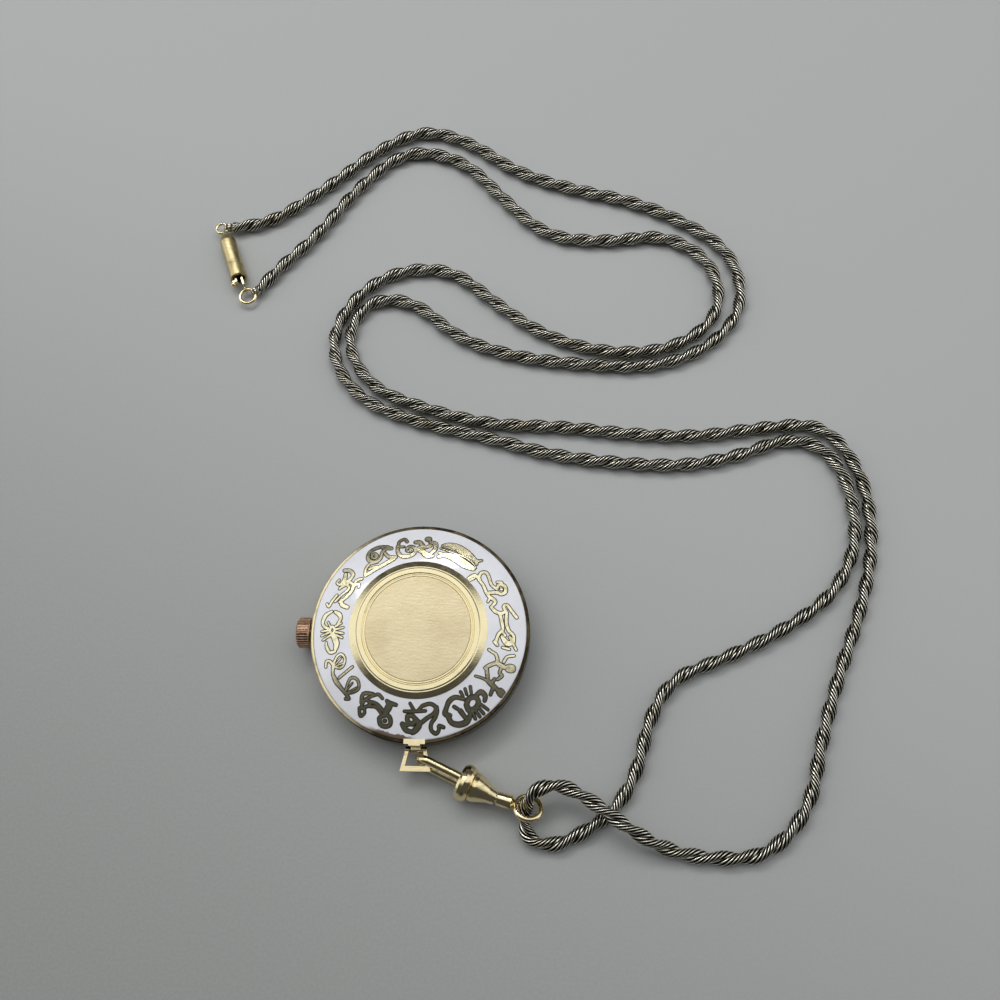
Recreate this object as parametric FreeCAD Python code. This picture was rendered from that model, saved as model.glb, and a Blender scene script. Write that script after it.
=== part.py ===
import FreeCAD, Part
import math
import os

from FreeCAD import Placement, Rotation, Vector

# Pendant watch lying dial down, in millimetres.
# The origin is on the watch axis, on the plane that the bezel rests on; +Z is up, towards the enamelled back.
# The crown points along -X and the pendant along -Y.

# Case; it is drawn round the movement
CASE_WALL = 3.8
CASE_TAPER = 1.0
BEZEL_HEIGHT = 1.25
BEZEL_FOOT_WIDTH = 1.4
BEZEL_REVEAL = 0.1
WALL_START = 1.15
SHELF_CLEARANCE = 0.7
LIP_WIDTH = 0.45
LIP_HEIGHT = 0.6
LIP_BEVEL = 0.15
FLANGE_THICKNESS = 0.75
FLANGE_WIDTH = 0.9
SEAT_GAP = 0.05

# Crystal and dial
CRYSTAL_SEAT = 0.3
CRYSTAL_THICKNESS = 0.9
CRYSTAL_RECESS = 0.35
CRYSTAL_LIP = 0.5
DIAL_THICKNESS = 0.4
MARKER_LENGTH = 1.9
MARKER_WIDTH = 0.55
MARKER_HEIGHT = 0.12
MINUTE_HAND_LENGTH = 11.2
HOUR_HAND_LENGTH = 7.6
HAND_THICKNESS = 0.14
HAND_WIDTH = 0.95
HAND_GAP = 0.16

# Back
BACK_THICKNESS = 0.45
BACK_CLEARANCE = 0.85
BACK_STEP = 0.35
BACK_RIM_THICKNESS = 0.35
BACK_FOOT_WIDTH = 1.6
BACK_TABLE_MARGIN = 0.85
ENAMEL_THICKNESS = 0.5
ENAMEL_ROUNDING = 0.15
ENAMEL_DOME = 0.13
RING_WIDTH = 2.65
RING_HEIGHT = 0.75
DISC_HEIGHT = 0.68
GASKET_THICKNESS = 0.2
GASKET_GAP = 0.4

# Movement
MOVEMENT_RING_WIDTH = 1.9
PLATE_EDGE = 0.3
BARREL_GAP = 0.52
PLATE_THICKNESS = 1.2
UNDER_DIAL_SPACE = 0.7
TRAIN_SPACE = 1.2
BRIDGE_THICKNESS = 0.6
PILLAR_WIDTH = 1.4
WHEEL_THICKNESS = 0.15
ARBOR_RADIUS = 0.2
MESH_GAP = 0.08
BARREL_RADIUS = 4.3
CENTRE_PINION_RADIUS = 0.9
CENTRE_WHEEL_RADIUS = 3.6
THIRD_PINION_RADIUS = 0.7
THIRD_WHEEL_RADIUS = 2.9
FOURTH_PINION_RADIUS = 0.6
FOURTH_WHEEL_RADIUS = 2.6
ESCAPE_PINION_RADIUS = 0.5
ESCAPE_WHEEL_RADIUS = 1.6
BALANCE_RADIUS = 3.0
BALANCE_PLACE = Vector(-6.1, -3.5, 0)
PALLET_REACH = 1.0
RATCHET_RADIUS = 3.4
CROWN_WHEEL_RADIUS = 2.0
HOUR_WHEEL_RADIUS = 3.0
MINUTE_WHEEL_RADIUS = 2.4
CANNON_RADIUS = 0.85

# Winding stem and crown
STEM_DEPTH = 0.3
STEM_RADIUS = 0.45
STEM_GAP = 0.05
STEM_END = 5.4
CROWN_RADIUS = 2.45
CROWN_LENGTH = 2.15
CROWN_GAP = 0.25
CROWN_PULL = 0.8
CROWN_FLUTES = 36
CROWN_FLUTE_RADIUS = 0.13
TUBE_RADIUS = 0.9
TUBE_PROUD = 1.2
PINION_RADIUS = 0.95
PINION_LENGTH = 1.1
PINION_GAP = 0.15
PINION_SPACING = 0.7
STEM_TIP = 0.2

# Pendant and bail
BAIL_HEIGHT = 2.95
PIN_RADIUS = 0.3
PIN_GAP = 0.04
KNUCKLE_RADIUS = 0.52
KNUCKLE_WALL_GAP = 0.1
KNUCKLE_WIDTH = 1.5
BAIL_TOP_WIDTH = 3.3
BAIL_BOTTOM_WIDTH = 4.8
BAIL_LENGTH = 3.25
BAIL_WIRE = 0.78
BAIL_THICKNESS = 0.9
TAB_WIDTH = 3.3
TAB_DEPTH = 1.05
TAB_THICKNESS = 0.5
STRAP_WIDTH = 1.8
STRAP_THICKNESS = 0.25

# Swivel hook; its own frame has X along the axis towards the eye, and the origin in the middle of the bulb
HOOK_SEAT = 6.3
HOOK_DROP = 2.12
HOOK_SIDE = 1.92
HOOK_BEARING = -24.3
HOOK_ROLL = 14.0
HOOK_WIRE = 1.3
HOOK_SPREAD = 1.6
HOOK_REACH = 7.85
GATE_START = 5.0
GATE_GAP = 0.08
GATE_PIVOT = 0.22
GATE_PIN_RADIUS = 0.25
GATE_PIN_LENGTH = 4.0
GATE_COIL = 0.12
BULB_RADIUS = 2.88
BULB_FRONT = 0.9
BULB_BACK = 1.35
CAVITY_RADIUS = 2.42
CAVITY_DEPTH = 1.45
CONE_RADIUS = 2.3
CONE_END_RADIUS = 1.14
CONE_END = 5.3
SHANK_RADIUS = 0.55
SHANK_GAP = 0.06
CHAMBER_RADIUS = 1.05
HEAD_RADIUS = 0.9
HEAD_LENGTH = 0.8
COLLAR_GAP = 0.22
COLLAR_LENGTH = 2.25
COLLAR_RADIUS = 1.05
EYE_COCK = 9.0
EYE_TILT = -28.0
EYE_NECK = 0.75
EYE_HOLE_RADIUS = 1.5
EYE_WIRE = 0.9

# Chain
CHAIN_DIAMETER = 2.35
RUN_SHARE = 0.45

# Barrel clasp; its own frame has X from the domed tip to the open end
CLASP_TIP = Vector(-41.35, 77.0, 1.62)
CLASP_BEARING = -69.2
CLASP_LENGTH = 10.5
CLASP_RADIUS = 1.5
CLASP_RIM = 0.1
CLASP_RIM_WIDTH = 1.0
CLASP_BORE = 1.15
CLASP_SOLID = 2.8
LEAF_THICKNESS = 0.35
LEAF_WIDTH = 1.5
LEAF_OFFSET = 0.55
LEAF_TAIL = 12.4
NUB_RADIUS = 0.5
RING_A_RADIUS = 1.05
RING_A_WIRE = 0.5
RING_B_RADIUS = 1.45
RING_B_WIRE = 0.6
TAIL_LOOP_RADIUS = 0.62
TAIL_LOOP_WIRE = 0.35

# Course of the chain from the barrel clasp round to its tongue, one list of points for each solid: the two strands
# lie side by side in three bends, cross once near the swivel and pass through its eye.
COURSE = {
    "rope_chain_clasp_end": [
        (-39.85, 78.4, 1.5), (-34.4, 79.2, 1.25), (-29.3, 82.1, 1.25), (-21.5, 88.3, 1.25),
        (-13.7, 95.6, 1.25), (-4.6, 100.8, 1.25), (4.8, 97.5, 1.25), (13.8, 90.3, 1.25), (24.4, 86.3, 1.25),
    ],
    "rope_chain_outer": [
        (36.0, 83.4, 1.25), (46.0, 78.4, 1.25), (54.0, 71.5, 1.25), (55.3, 60.3, 1.25), (48.3, 52.1, 1.25),
        (38.5, 48.6, 1.25), (26.5, 49.2, 1.25), (14.5, 50.7, 1.25), (4.0, 54.4, 1.25), (-4.6, 62.5, 1.25),
        (-13.2, 62.7, 1.25), (-16.9, 54.2, 1.25), (-11.7, 44.8, 1.25), (-1.0, 40.4, 1.25), (10.5, 37.5, 1.25),
        (22.5, 37.3, 1.25), (34.0, 35.8, 1.25), (46.0, 35.3, 1.25), (57.0, 37.1, 1.25), (67.4, 37.9, 1.25),
        (73.2, 28.7, 1.25), (73.8, 17.0, 1.25), (71.0, 6.1, 1.25), (66.3, -4.9, 1.25), (62.6, -15.4, 1.25),
        (60.2, -25.6, 1.25), (53.6, -32.5, 1.25), (46.0, -33.2, 1.25),
    ],
    "rope_chain_eye_loop": [
        (39.6, -32.4, 1.25), (33.6, -29.9, 4.15), (26.7, -25.0, 4.15), (21.8, -22.7, 4.3), (17.9, -24.1, 5.1),
        (16.7, -27.9, 1.35), (17.4, -30.9, 1.25), (21.0, -31.9, 1.25), (25.6, -30.0, 1.25), (31.0, -26.2, 1.25),
    ],
    "rope_chain_inner": [
        (34.4, -20.2, 1.25), (36.0, -13.2, 1.25), (39.9, -6.2, 1.25), (48.4, -3.0, 1.25), (57.8, 1.5, 1.25),
        (66.6, 7.6, 1.25), (71.2, 16.4, 1.25), (70.7, 27.0, 1.25), (67.2, 33.5, 1.25), (60.8, 35.2, 1.25),
        (53.2, 31.9, 1.25), (43.5, 29.9, 1.25), (32.5, 30.4, 1.25), (21.0, 31.8, 1.25), (9.4, 35.3, 1.25),
        (-2.7, 38.0, 1.25), (-14.1, 42.7, 1.25), (-19.8, 52.8, 1.25), (-16.4, 62.6, 1.25), (-8.0, 69.0, 1.25),
        (2.4, 69.0, 1.25), (10.6, 61.6, 1.25), (19.6, 54.8, 1.25), (31.0, 51.3, 1.25), (42.6, 52.2, 1.25),
        (51.0, 59.0, 1.25), (50.5, 69.6, 1.25), (41.8, 76.2, 1.25), (30.8, 74.5, 1.25), (19.6, 75.8, 1.25),
        (11.6, 84.1, 1.25), (3.6, 93.4, 1.25), (-7.6, 96.1, 1.25), (-16.6, 87.4, 1.25), (-23.7, 76.4, 1.25),
        (-30.4, 69.6, 1.25), (-33.9, 64.7, 1.25),
    ],
}

X_AXIS = Vector(1, 0, 0)
Y_AXIS = Vector(0, 1, 0)
Z_AXIS = Vector(0, 0, 1)
FULL_TURN = 360


def save(name, shape):
    shape = shape.removeSplitter()
    if not shape.isValid():
        raise RuntimeError(name + " is not a valid solid")
    print("%-26s solids %2d  volume %9.3f" % (name, len(shape.Solids), shape.Volume))
    shape.exportStep("parts/" + name + ".step")
    return shape


def cylinder(radius, bottom, top, place=Vector(0, 0, 0)):
    return Part.makeCylinder(radius, top - bottom, place + Z_AXIS * bottom)


def washer(inner, outer, bottom, top, place=Vector(0, 0, 0)):
    hole = cylinder(inner, bottom - 1, top + 1, place)
    return cylinder(outer, bottom, top, place).cut(hole)


def block(x, y, z):
    return Part.makeBox(x[1] - x[0], y[1] - y[0], z[1] - z[0], Vector(x[0], y[0], z[0]))


def turned(profile):
    """Solid of revolution about Z from (radius, height) corners."""
    corners = [Vector(radius, 0, height) for radius, height in profile]
    face = Part.Face(Part.makePolygon(corners + corners[:1]))
    return face.revolve(Vector(0, 0, 0), Z_AXIS, FULL_TURN)


def turned_along_x(profile):
    """Solid of revolution about X from (distance along X, radius) corners."""
    corners = [Vector(along, 0, radius) for along, radius in profile]
    face = Part.Face(Part.makePolygon(corners + corners[:1]))
    return face.revolve(Vector(0, 0, 0), X_AXIS, FULL_TURN)


def along_x(radius, start, end, y=0, z=0):
    return Part.makeCylinder(radius, end - start, Vector(start, y, z), X_AXIS)


def toothed(teeth, tip, depth, bottom, top, place=Vector(0, 0, 0)):
    """Toothed wheel: every tooth has a flat tip and a flat root of equal length."""
    corners = []
    for tooth in range(teeth):
        for share, radius in ((0, tip - depth), (0.3, tip - depth), (0.5, tip), (0.8, tip)):
            angle = 2 * math.pi * (tooth + share) / teeth
            corners.append(Vector(radius * math.cos(angle), radius * math.sin(angle), bottom))
    wheel = Part.Face(Part.makePolygon(corners + corners[:1])).extrude(Z_AXIS * (top - bottom))
    wheel.translate(place)
    return wheel


def toward(start, end, length):
    """Place at the given length from start, in the direction of end."""
    return start + (end - start).normalize() * length


def bend_radius(before, corner, after):
    first = before - corner
    second = after - corner
    turn = math.pi - first.getAngle(second)
    return RUN_SHARE * min(first.Length, second.Length) / math.tan(turn / 2), turn


def rounded_path(points, radii):
    """Wire of straight runs joined by tangent arcs."""
    edges = []
    start = points[0]
    for index in range(1, len(points) - 1):
        corner = points[index]
        back = (points[index - 1] - corner).normalize()
        ahead = (points[index + 1] - corner).normalize()
        turn = math.pi - back.getAngle(ahead)
        radius = radii[index - 1]
        cut = radius * math.tan(turn / 2)
        enter = corner + back * cut
        leave = corner + ahead * cut
        inward = (back + ahead).normalize()
        middle = corner + inward * (radius / math.cos(turn / 2) - radius)
        if (enter - start).Length > 0.001:
            edges.append(Part.LineSegment(start, enter).toShape())
        edges.append(Part.Arc(enter, middle, leave).toShape())
        start = leave
    if (points[-1] - start).Length > 0.001:
        edges.append(Part.LineSegment(start, points[-1]).toShape())
    return Part.Wire(edges)


def rod(points, radii, diameter):
    """Round bar along a rounded path."""
    path = rounded_path(points, radii)
    circle = Part.Wire(Part.makeCircle(diameter / 2, points[0], points[1] - points[0]))
    bar = path.makePipeShell([circle], True, False)
    return bar, path.Length


def torus(mean_radius, wire, place=Vector(0, 0, 0), axis=Z_AXIS):
    return Part.makeTorus(mean_radius, wire / 2, place, axis)


# Heights and places that several pieces share
CENTRE = Vector(0, 0, 0)
BARREL_PLACE = toward(CENTRE, Vector(-2.6, 4.6, 0), BARREL_RADIUS + CENTRE_PINION_RADIUS + MESH_GAP)
BRIDGE_RADIUS = BARREL_PLACE.Length + BARREL_RADIUS + BARREL_GAP + PILLAR_WIDTH
MOVEMENT_RADIUS = BRIDGE_RADIUS + PLATE_EDGE
FLANGE_RADIUS = MOVEMENT_RADIUS + MOVEMENT_RING_WIDTH
CRYSTAL_RADIUS = FLANGE_RADIUS + CRYSTAL_SEAT
CASE_RADIUS = FLANGE_RADIUS + CASE_WALL
BEZEL_RADIUS = CASE_RADIUS - CASE_TAPER
LIP_INNER_RADIUS = CASE_RADIUS - LIP_WIDTH
BACK_RADIUS = LIP_INNER_RADIUS - SEAT_GAP
ENAMEL_RADIUS = BACK_RADIUS - SEAT_GAP
BACK_TABLE_RADIUS = MOVEMENT_RADIUS - BACK_TABLE_MARGIN
RING_INNER_RADIUS = BACK_TABLE_RADIUS - RING_WIDTH

DIAL_BOTTOM = BEZEL_HEIGHT + FLANGE_THICKNESS
DIAL_TOP = DIAL_BOTTOM + DIAL_THICKNESS
PLATE_BOTTOM = DIAL_TOP + UNDER_DIAL_SPACE
PLATE_TOP = PLATE_BOTTOM + PLATE_THICKNESS
BRIDGE_BOTTOM = PLATE_TOP + TRAIN_SPACE
BRIDGE_TOP = BRIDGE_BOTTOM + BRIDGE_THICKNESS
SHELF_HEIGHT = PLATE_TOP + SHELF_CLEARANCE
LIP_TOP = SHELF_HEIGHT + LIP_HEIGHT
ENAMEL_EDGE_HEIGHT = SHELF_HEIGHT + BACK_RIM_THICKNESS
BACK_SEAT = BRIDGE_TOP + BACK_CLEARANCE
BACK_TABLE_HEIGHT = BACK_SEAT + BACK_THICKNESS
STEM_HEIGHT = PLATE_BOTTOM + STEM_DEPTH

PIN_PLACE = Vector(0, -(CASE_RADIUS + KNUCKLE_WALL_GAP + KNUCKLE_RADIUS), BAIL_HEIGHT)
TAB_BOTTOM = ENAMEL_EDGE_HEIGHT
TAB_TOP = TAB_BOTTOM + TAB_THICKNESS
CROWN_WHEEL_PLACE = toward(BARREL_PLACE, Vector(-7.6, 2.3, 0), RATCHET_RADIUS + CROWN_WHEEL_RADIUS + MESH_GAP)
THIRD_PLACE = toward(CENTRE, Vector(3.9, -2.0, 0), CENTRE_WHEEL_RADIUS + THIRD_PINION_RADIUS + MESH_GAP)
FOURTH_PLACE = toward(THIRD_PLACE, Vector(1.0, -4.1, 0), THIRD_WHEEL_RADIUS + FOURTH_PINION_RADIUS + MESH_GAP)
ESCAPE_PLACE = toward(FOURTH_PLACE, Vector(-1.9, -5.4, 0), FOURTH_WHEEL_RADIUS + ESCAPE_PINION_RADIUS + MESH_GAP)
PALLET_PLACE = toward(ESCAPE_PLACE, Vector(-4.5, -5.7, 0), ESCAPE_WHEEL_RADIUS + PALLET_REACH)
SLIDING_PINION_START = -(STEM_END + STEM_TIP + PINION_LENGTH)
WINDING_PINION_START = SLIDING_PINION_START - CROWN_PULL - PINION_SPACING - PINION_LENGTH
HOOK_AXIS = Rotation(Z_AXIS, HOOK_BEARING).multVec(X_AXIS)
HOOK_PLACE = Vector(HOOK_SIDE, PIN_PLACE.y - HOOK_DROP, BAIL_HEIGHT) + HOOK_AXIS * HOOK_SEAT


def lug_tab():
    """Flat tab of the pendant that laps over the case lip into the enamel."""
    return block(
        (-TAB_WIDTH / 2, TAB_WIDTH / 2),
        (-CASE_RADIUS, -CASE_RADIUS + TAB_DEPTH),
        (TAB_BOTTOM, TAB_TOP),
    )


def stem_hole(radius):
    return along_x(radius, -2 * CASE_RADIUS, -STEM_END, 0, STEM_HEIGHT)


def case_middle():
    wall_bottom = BEZEL_HEIGHT + WALL_START
    body = turned([
        (FLANGE_RADIUS - FLANGE_WIDTH, BEZEL_HEIGHT),
        (BEZEL_RADIUS, BEZEL_HEIGHT),
        (CASE_RADIUS, wall_bottom),
        (CASE_RADIUS, LIP_TOP - LIP_BEVEL),
        (CASE_RADIUS - LIP_BEVEL, LIP_TOP),
        (LIP_INNER_RADIUS, LIP_TOP),
        (LIP_INNER_RADIUS, SHELF_HEIGHT),
        (FLANGE_RADIUS, SHELF_HEIGHT),
        (FLANGE_RADIUS, DIAL_BOTTOM),
        (FLANGE_RADIUS - FLANGE_WIDTH, DIAL_BOTTOM),
    ])
    return body.cut(lug_tab()).cut(along_x(TUBE_RADIUS, -2 * CASE_RADIUS, 0, 0, STEM_HEIGHT))


def bezel():
    opening = CRYSTAL_RADIUS - CRYSTAL_LIP
    foot = opening + BEZEL_REVEAL
    return turned([
        (foot, 0),
        (foot + BEZEL_FOOT_WIDTH, 0),
        (BEZEL_RADIUS, BEZEL_HEIGHT),
        (CRYSTAL_RADIUS + SEAT_GAP, BEZEL_HEIGHT),
        (CRYSTAL_RADIUS + SEAT_GAP, CRYSTAL_RECESS),
        (opening, CRYSTAL_RECESS),
    ])


def crystal():
    top = CRYSTAL_RECESS + CRYSTAL_THICKNESS
    return turned([
        (0, CRYSTAL_RECESS),
        (CRYSTAL_RADIUS, CRYSTAL_RECESS),
        (CRYSTAL_RADIUS, top),
        (0, top),
    ])


def case_back():
    """Pressed back: a flat table, a step down to the enamel's seat, and a sloping rim that drops onto the shelf."""
    underside = BACK_SEAT - BACK_STEP
    foot = BACK_RADIUS - BACK_FOOT_WIDTH
    back = turned([
        (0, BACK_SEAT),
        (BACK_TABLE_RADIUS - 0.55, BACK_SEAT),
        (BACK_TABLE_RADIUS - BACK_STEP, underside),
        (foot, SHELF_HEIGHT + 0.3),
        (foot, SHELF_HEIGHT),
        (BACK_RADIUS, SHELF_HEIGHT),
        (BACK_RADIUS, ENAMEL_EDGE_HEIGHT),
        (ENAMEL_RADIUS, ENAMEL_EDGE_HEIGHT),
        (BACK_TABLE_RADIUS, BACK_SEAT),
        (BACK_TABLE_RADIUS, BACK_TABLE_HEIGHT),
        (0, BACK_TABLE_HEIGHT),
    ])
    return back.cut(lug_tab())


def enamel_ring():
    """Domed enamel ring on the back's slope."""
    inner_bottom = Vector(BACK_TABLE_RADIUS, 0, BACK_SEAT)
    outer_bottom = Vector(ENAMEL_RADIUS, 0, ENAMEL_EDGE_HEIGHT)
    outer_side = outer_bottom + Z_AXIS * (ENAMEL_THICKNESS - ENAMEL_ROUNDING)
    outer_top = outer_bottom + Vector(-ENAMEL_ROUNDING, 0, ENAMEL_THICKNESS)
    inner_top = inner_bottom + Z_AXIS * (ENAMEL_THICKNESS + 0.05)
    crest = (outer_top + inner_top) * 0.5 + Z_AXIS * ENAMEL_DOME
    edges = [
        Part.LineSegment(inner_bottom, outer_bottom).toShape(),
        Part.LineSegment(outer_bottom, outer_side).toShape(),
        Part.LineSegment(outer_side, outer_top).toShape(),
        Part.Arc(outer_top, crest, inner_top).toShape(),
        Part.LineSegment(inner_top, inner_bottom).toShape(),
    ]
    ring = Part.Face(Part.Wire(edges)).revolve(CENTRE, Z_AXIS, FULL_TURN)
    return ring.cut(lug_tab())


def back_ring():
    """Stepped polished ring round the disc: a bead, a groove, a flat band and a slope down to the enamel."""
    base = BACK_TABLE_HEIGHT
    crest = base + RING_HEIGHT
    return turned([
        (RING_INNER_RADIUS, base),
        (BACK_TABLE_RADIUS, base),
        (BACK_TABLE_RADIUS, base + 0.15),
        (RING_INNER_RADIUS + RING_WIDTH * 0.64, crest - 0.2),
        (RING_INNER_RADIUS + RING_WIDTH * 0.58, crest - 0.2),
        (RING_INNER_RADIUS + RING_WIDTH * 0.51, crest),
        (RING_INNER_RADIUS + RING_WIDTH * 0.26, crest),
        (RING_INNER_RADIUS + RING_WIDTH * 0.21, crest - 0.15),
        (RING_INNER_RADIUS + RING_WIDTH * 0.16, crest - 0.15),
        (RING_INNER_RADIUS + RING_WIDTH * 0.12, crest - 0.05),
        (RING_INNER_RADIUS + RING_WIDTH * 0.04, crest - 0.05),
        (RING_INNER_RADIUS, crest - 0.15),
    ])


def back_disc():
    return cylinder(RING_INNER_RADIUS, BACK_TABLE_HEIGHT, BACK_TABLE_HEIGHT + DISC_HEIGHT)


def back_gasket():
    return washer(
        FLANGE_RADIUS + GASKET_GAP,
        BACK_RADIUS - BACK_FOOT_WIDTH,
        SHELF_HEIGHT,
        SHELF_HEIGHT + GASKET_THICKNESS,
    )


def case_tube():
    reach = CASE_RADIUS + TUBE_PROUD
    tube = along_x(TUBE_RADIUS, -reach, -FLANGE_RADIUS, 0, STEM_HEIGHT)
    return tube.cut(stem_hole(STEM_RADIUS + STEM_GAP))


def crown():
    """Fluted crown with a recess that runs over the case tube."""
    face = CASE_RADIUS + CROWN_GAP
    end = face + CROWN_LENGTH
    bevel = 0.25
    body = turned_along_x([
        (-face, 0),
        (-face, CROWN_RADIUS - bevel),
        (-face - bevel, CROWN_RADIUS),
        (-end + bevel, CROWN_RADIUS),
        (-end, CROWN_RADIUS - bevel),
        (-end, 0),
    ])
    body = body.cut(along_x(TUBE_RADIUS + 0.3, -end + 0.5, 0))
    flutes = []
    for flute in range(CROWN_FLUTES):
        angle = 2 * math.pi * flute / CROWN_FLUTES
        y = CROWN_RADIUS * math.cos(angle)
        z = CROWN_RADIUS * math.sin(angle)
        flutes.append(along_x(CROWN_FLUTE_RADIUS, -end - 1, -face + 1, y, z))
    body = body.cut(Part.makeCompound(flutes))
    body.translate(Z_AXIS * STEM_HEIGHT)
    return body.cut(along_x(STEM_RADIUS, -end + 0.3, 0, 0, STEM_HEIGHT))


def crown_gasket():
    start = -(CASE_RADIUS + CROWN_GAP + 0.3)
    ring = along_x(TUBE_RADIUS + 0.26, start, start + 0.25, 0, STEM_HEIGHT)
    return ring.cut(along_x(TUBE_RADIUS + 0.04, start - 1, start + 1, 0, STEM_HEIGHT))


def winding_stem():
    end = CASE_RADIUS + CROWN_GAP + CROWN_LENGTH
    return along_x(STEM_RADIUS, -end + 0.3, -STEM_END - 0.1, 0, STEM_HEIGHT)


def stem_pinion(start, bore):
    pinion = toothed(14, PINION_RADIUS, 0.2, 0, PINION_LENGTH).cut(cylinder(bore, -1, PINION_LENGTH + 1))
    pinion.rotate(CENTRE, Y_AXIS, 90)
    pinion.translate(Vector(start, 0, STEM_HEIGHT))
    return pinion


def winding_pinion():
    return stem_pinion(WINDING_PINION_START, STEM_RADIUS + STEM_GAP)


def sliding_pinion():
    return stem_pinion(SLIDING_PINION_START, STEM_RADIUS)


def dial():
    return washer(1.1, FLANGE_RADIUS, DIAL_BOTTOM, DIAL_TOP)


def hour_markers():
    markers = []
    start = FLANGE_RADIUS - FLANGE_WIDTH - 0.7 - MARKER_LENGTH
    for hour in range(12):
        bar = block(
            (start, start + MARKER_LENGTH),
            (-MARKER_WIDTH / 2, MARKER_WIDTH / 2),
            (DIAL_BOTTOM - MARKER_HEIGHT, DIAL_BOTTOM),
        )
        bar.rotate(CENTRE, Z_AXIS, 30 * hour)
        markers.append(bar)
    return Part.makeCompound(markers)


def hand(length, angle, bottom, boss, bore):
    """Tapered hand with a round boss and a short tail."""
    half = HAND_WIDTH / 2
    corners = [(-2.2, -half * 0.6), (0, -half), (length * 0.8, -half * 0.7), (length, 0)]
    corners += [(x, -y) for x, y in reversed(corners[:-1])]
    outline = [Vector(x, y, bottom) for x, y in corners]
    blade = Part.Face(Part.makePolygon(outline + outline[:1])).extrude(Z_AXIS * HAND_THICKNESS)
    blade = blade.fuse(cylinder(boss, bottom, bottom + HAND_THICKNESS))
    if bore:
        blade = blade.cut(cylinder(bore, bottom - 1, bottom + 1))
    blade.rotate(CENTRE, Z_AXIS, angle)
    return blade


HOUR_HAND_BOTTOM = DIAL_BOTTOM - MARKER_HEIGHT - HAND_THICKNESS - 0.05
MINUTE_HAND_BOTTOM = HOUR_HAND_BOTTOM - HAND_GAP - HAND_THICKNESS


def hour_hand():
    return hand(HOUR_HAND_LENGTH, 212, HOUR_HAND_BOTTOM, 1.0, 0.72)


def minute_hand():
    return hand(MINUTE_HAND_LENGTH, 30, MINUTE_HAND_BOTTOM, 0.8, 0.42)


def cannon_pinion():
    pipe = cylinder(0.42, MINUTE_HAND_BOTTOM - 0.04, PLATE_BOTTOM - 0.02)
    leaves = toothed(12, CANNON_RADIUS, 0.16, PLATE_BOTTOM - 0.3, PLATE_BOTTOM - 0.02)
    return pipe.fuse(leaves)


def hour_wheel():
    pipe = washer(0.47, 0.72, HOUR_HAND_BOTTOM, DIAL_TOP + 0.08)
    wheel = toothed(48, HOUR_WHEEL_RADIUS, 0.16, DIAL_TOP + 0.08, DIAL_TOP + 0.08 + WHEEL_THICKNESS)
    return pipe.fuse(wheel.cut(cylinder(0.47, 0, PLATE_BOTTOM)))


MINUTE_WHEEL_PLACE = toward(CENTRE, Vector(1.0, 3.0, 0), CANNON_RADIUS + MINUTE_WHEEL_RADIUS + MESH_GAP)


def minute_wheel():
    """Minute wheel on a stud under the plate, with the pinion that drives the hour wheel."""
    wheel = toothed(36, MINUTE_WHEEL_RADIUS, 0.16, PLATE_BOTTOM - 0.24, PLATE_BOTTOM - 0.08, MINUTE_WHEEL_PLACE)
    reach = MINUTE_WHEEL_PLACE.Length - HOUR_WHEEL_RADIUS - MESH_GAP
    return wheel.fuse(cylinder(reach, DIAL_TOP + 0.08, PLATE_BOTTOM - 0.24, MINUTE_WHEEL_PLACE))


def mainplate():
    plate = cylinder(MOVEMENT_RADIUS, PLATE_BOTTOM, PLATE_TOP)
    plate = plate.fuse(washer(MOVEMENT_RADIUS - 0.8, MOVEMENT_RADIUS, DIAL_TOP, PLATE_BOTTOM))
    wide = PINION_RADIUS + PINION_GAP
    narrow = STEM_RADIUS + PINION_GAP
    slot = block((WINDING_PINION_START - 2 * PINION_GAP, -STEM_END), (-wide, wide), (0, 2 * PLATE_TOP))
    passage = block((-2 * MOVEMENT_RADIUS, -STEM_END), (-narrow, narrow), (0, STEM_HEIGHT + narrow))
    return plate.cut(slot).cut(passage).cut(cylinder(ARBOR_RADIUS + 0.05, 0, 2 * PLATE_TOP))


def movement_ring():
    ring = washer(MOVEMENT_RADIUS, FLANGE_RADIUS, DIAL_TOP, PLATE_TOP)
    return ring.cut(stem_hole(STEM_RADIUS + PINION_GAP))


def bridge_blank():
    """Round bridge blank with a wall at its rim that stands on the mainplate."""
    top = cylinder(BRIDGE_RADIUS, BRIDGE_BOTTOM, BRIDGE_TOP)
    return top.fuse(washer(BRIDGE_RADIUS - PILLAR_WIDTH, BRIDGE_RADIUS, PLATE_TOP, BRIDGE_BOTTOM))


def barrel_bridge():
    keep = block((-BRIDGE_RADIUS, BRIDGE_RADIUS), (0.8, BRIDGE_RADIUS), (0, 2 * BRIDGE_TOP))
    return bridge_blank().common(keep)


def train_bridge():
    keep = block((ESCAPE_PLACE.x - 0.8, BRIDGE_RADIUS), (-BRIDGE_RADIUS, 0.5), (0, 2 * BRIDGE_TOP))
    return bridge_blank().common(keep)


def arm(start, end, width, bottom, top):
    """Flat bar with round ends between two places."""
    along = end - start
    bar = block((0, along.Length), (-width / 2, width / 2), (bottom, top))
    bar.rotate(CENTRE, Z_AXIS, math.degrees(math.atan2(along.y, along.x)))
    bar.translate(start)
    return bar.fuse(cylinder(width / 2, bottom, top, start)).fuse(cylinder(width / 2, bottom, top, end))


BALANCE_BOTTOM = BRIDGE_BOTTOM + 0.1
COCK_BOTTOM = BALANCE_BOTTOM + 0.4
COCK_TOP = COCK_BOTTOM + 0.4


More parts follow.
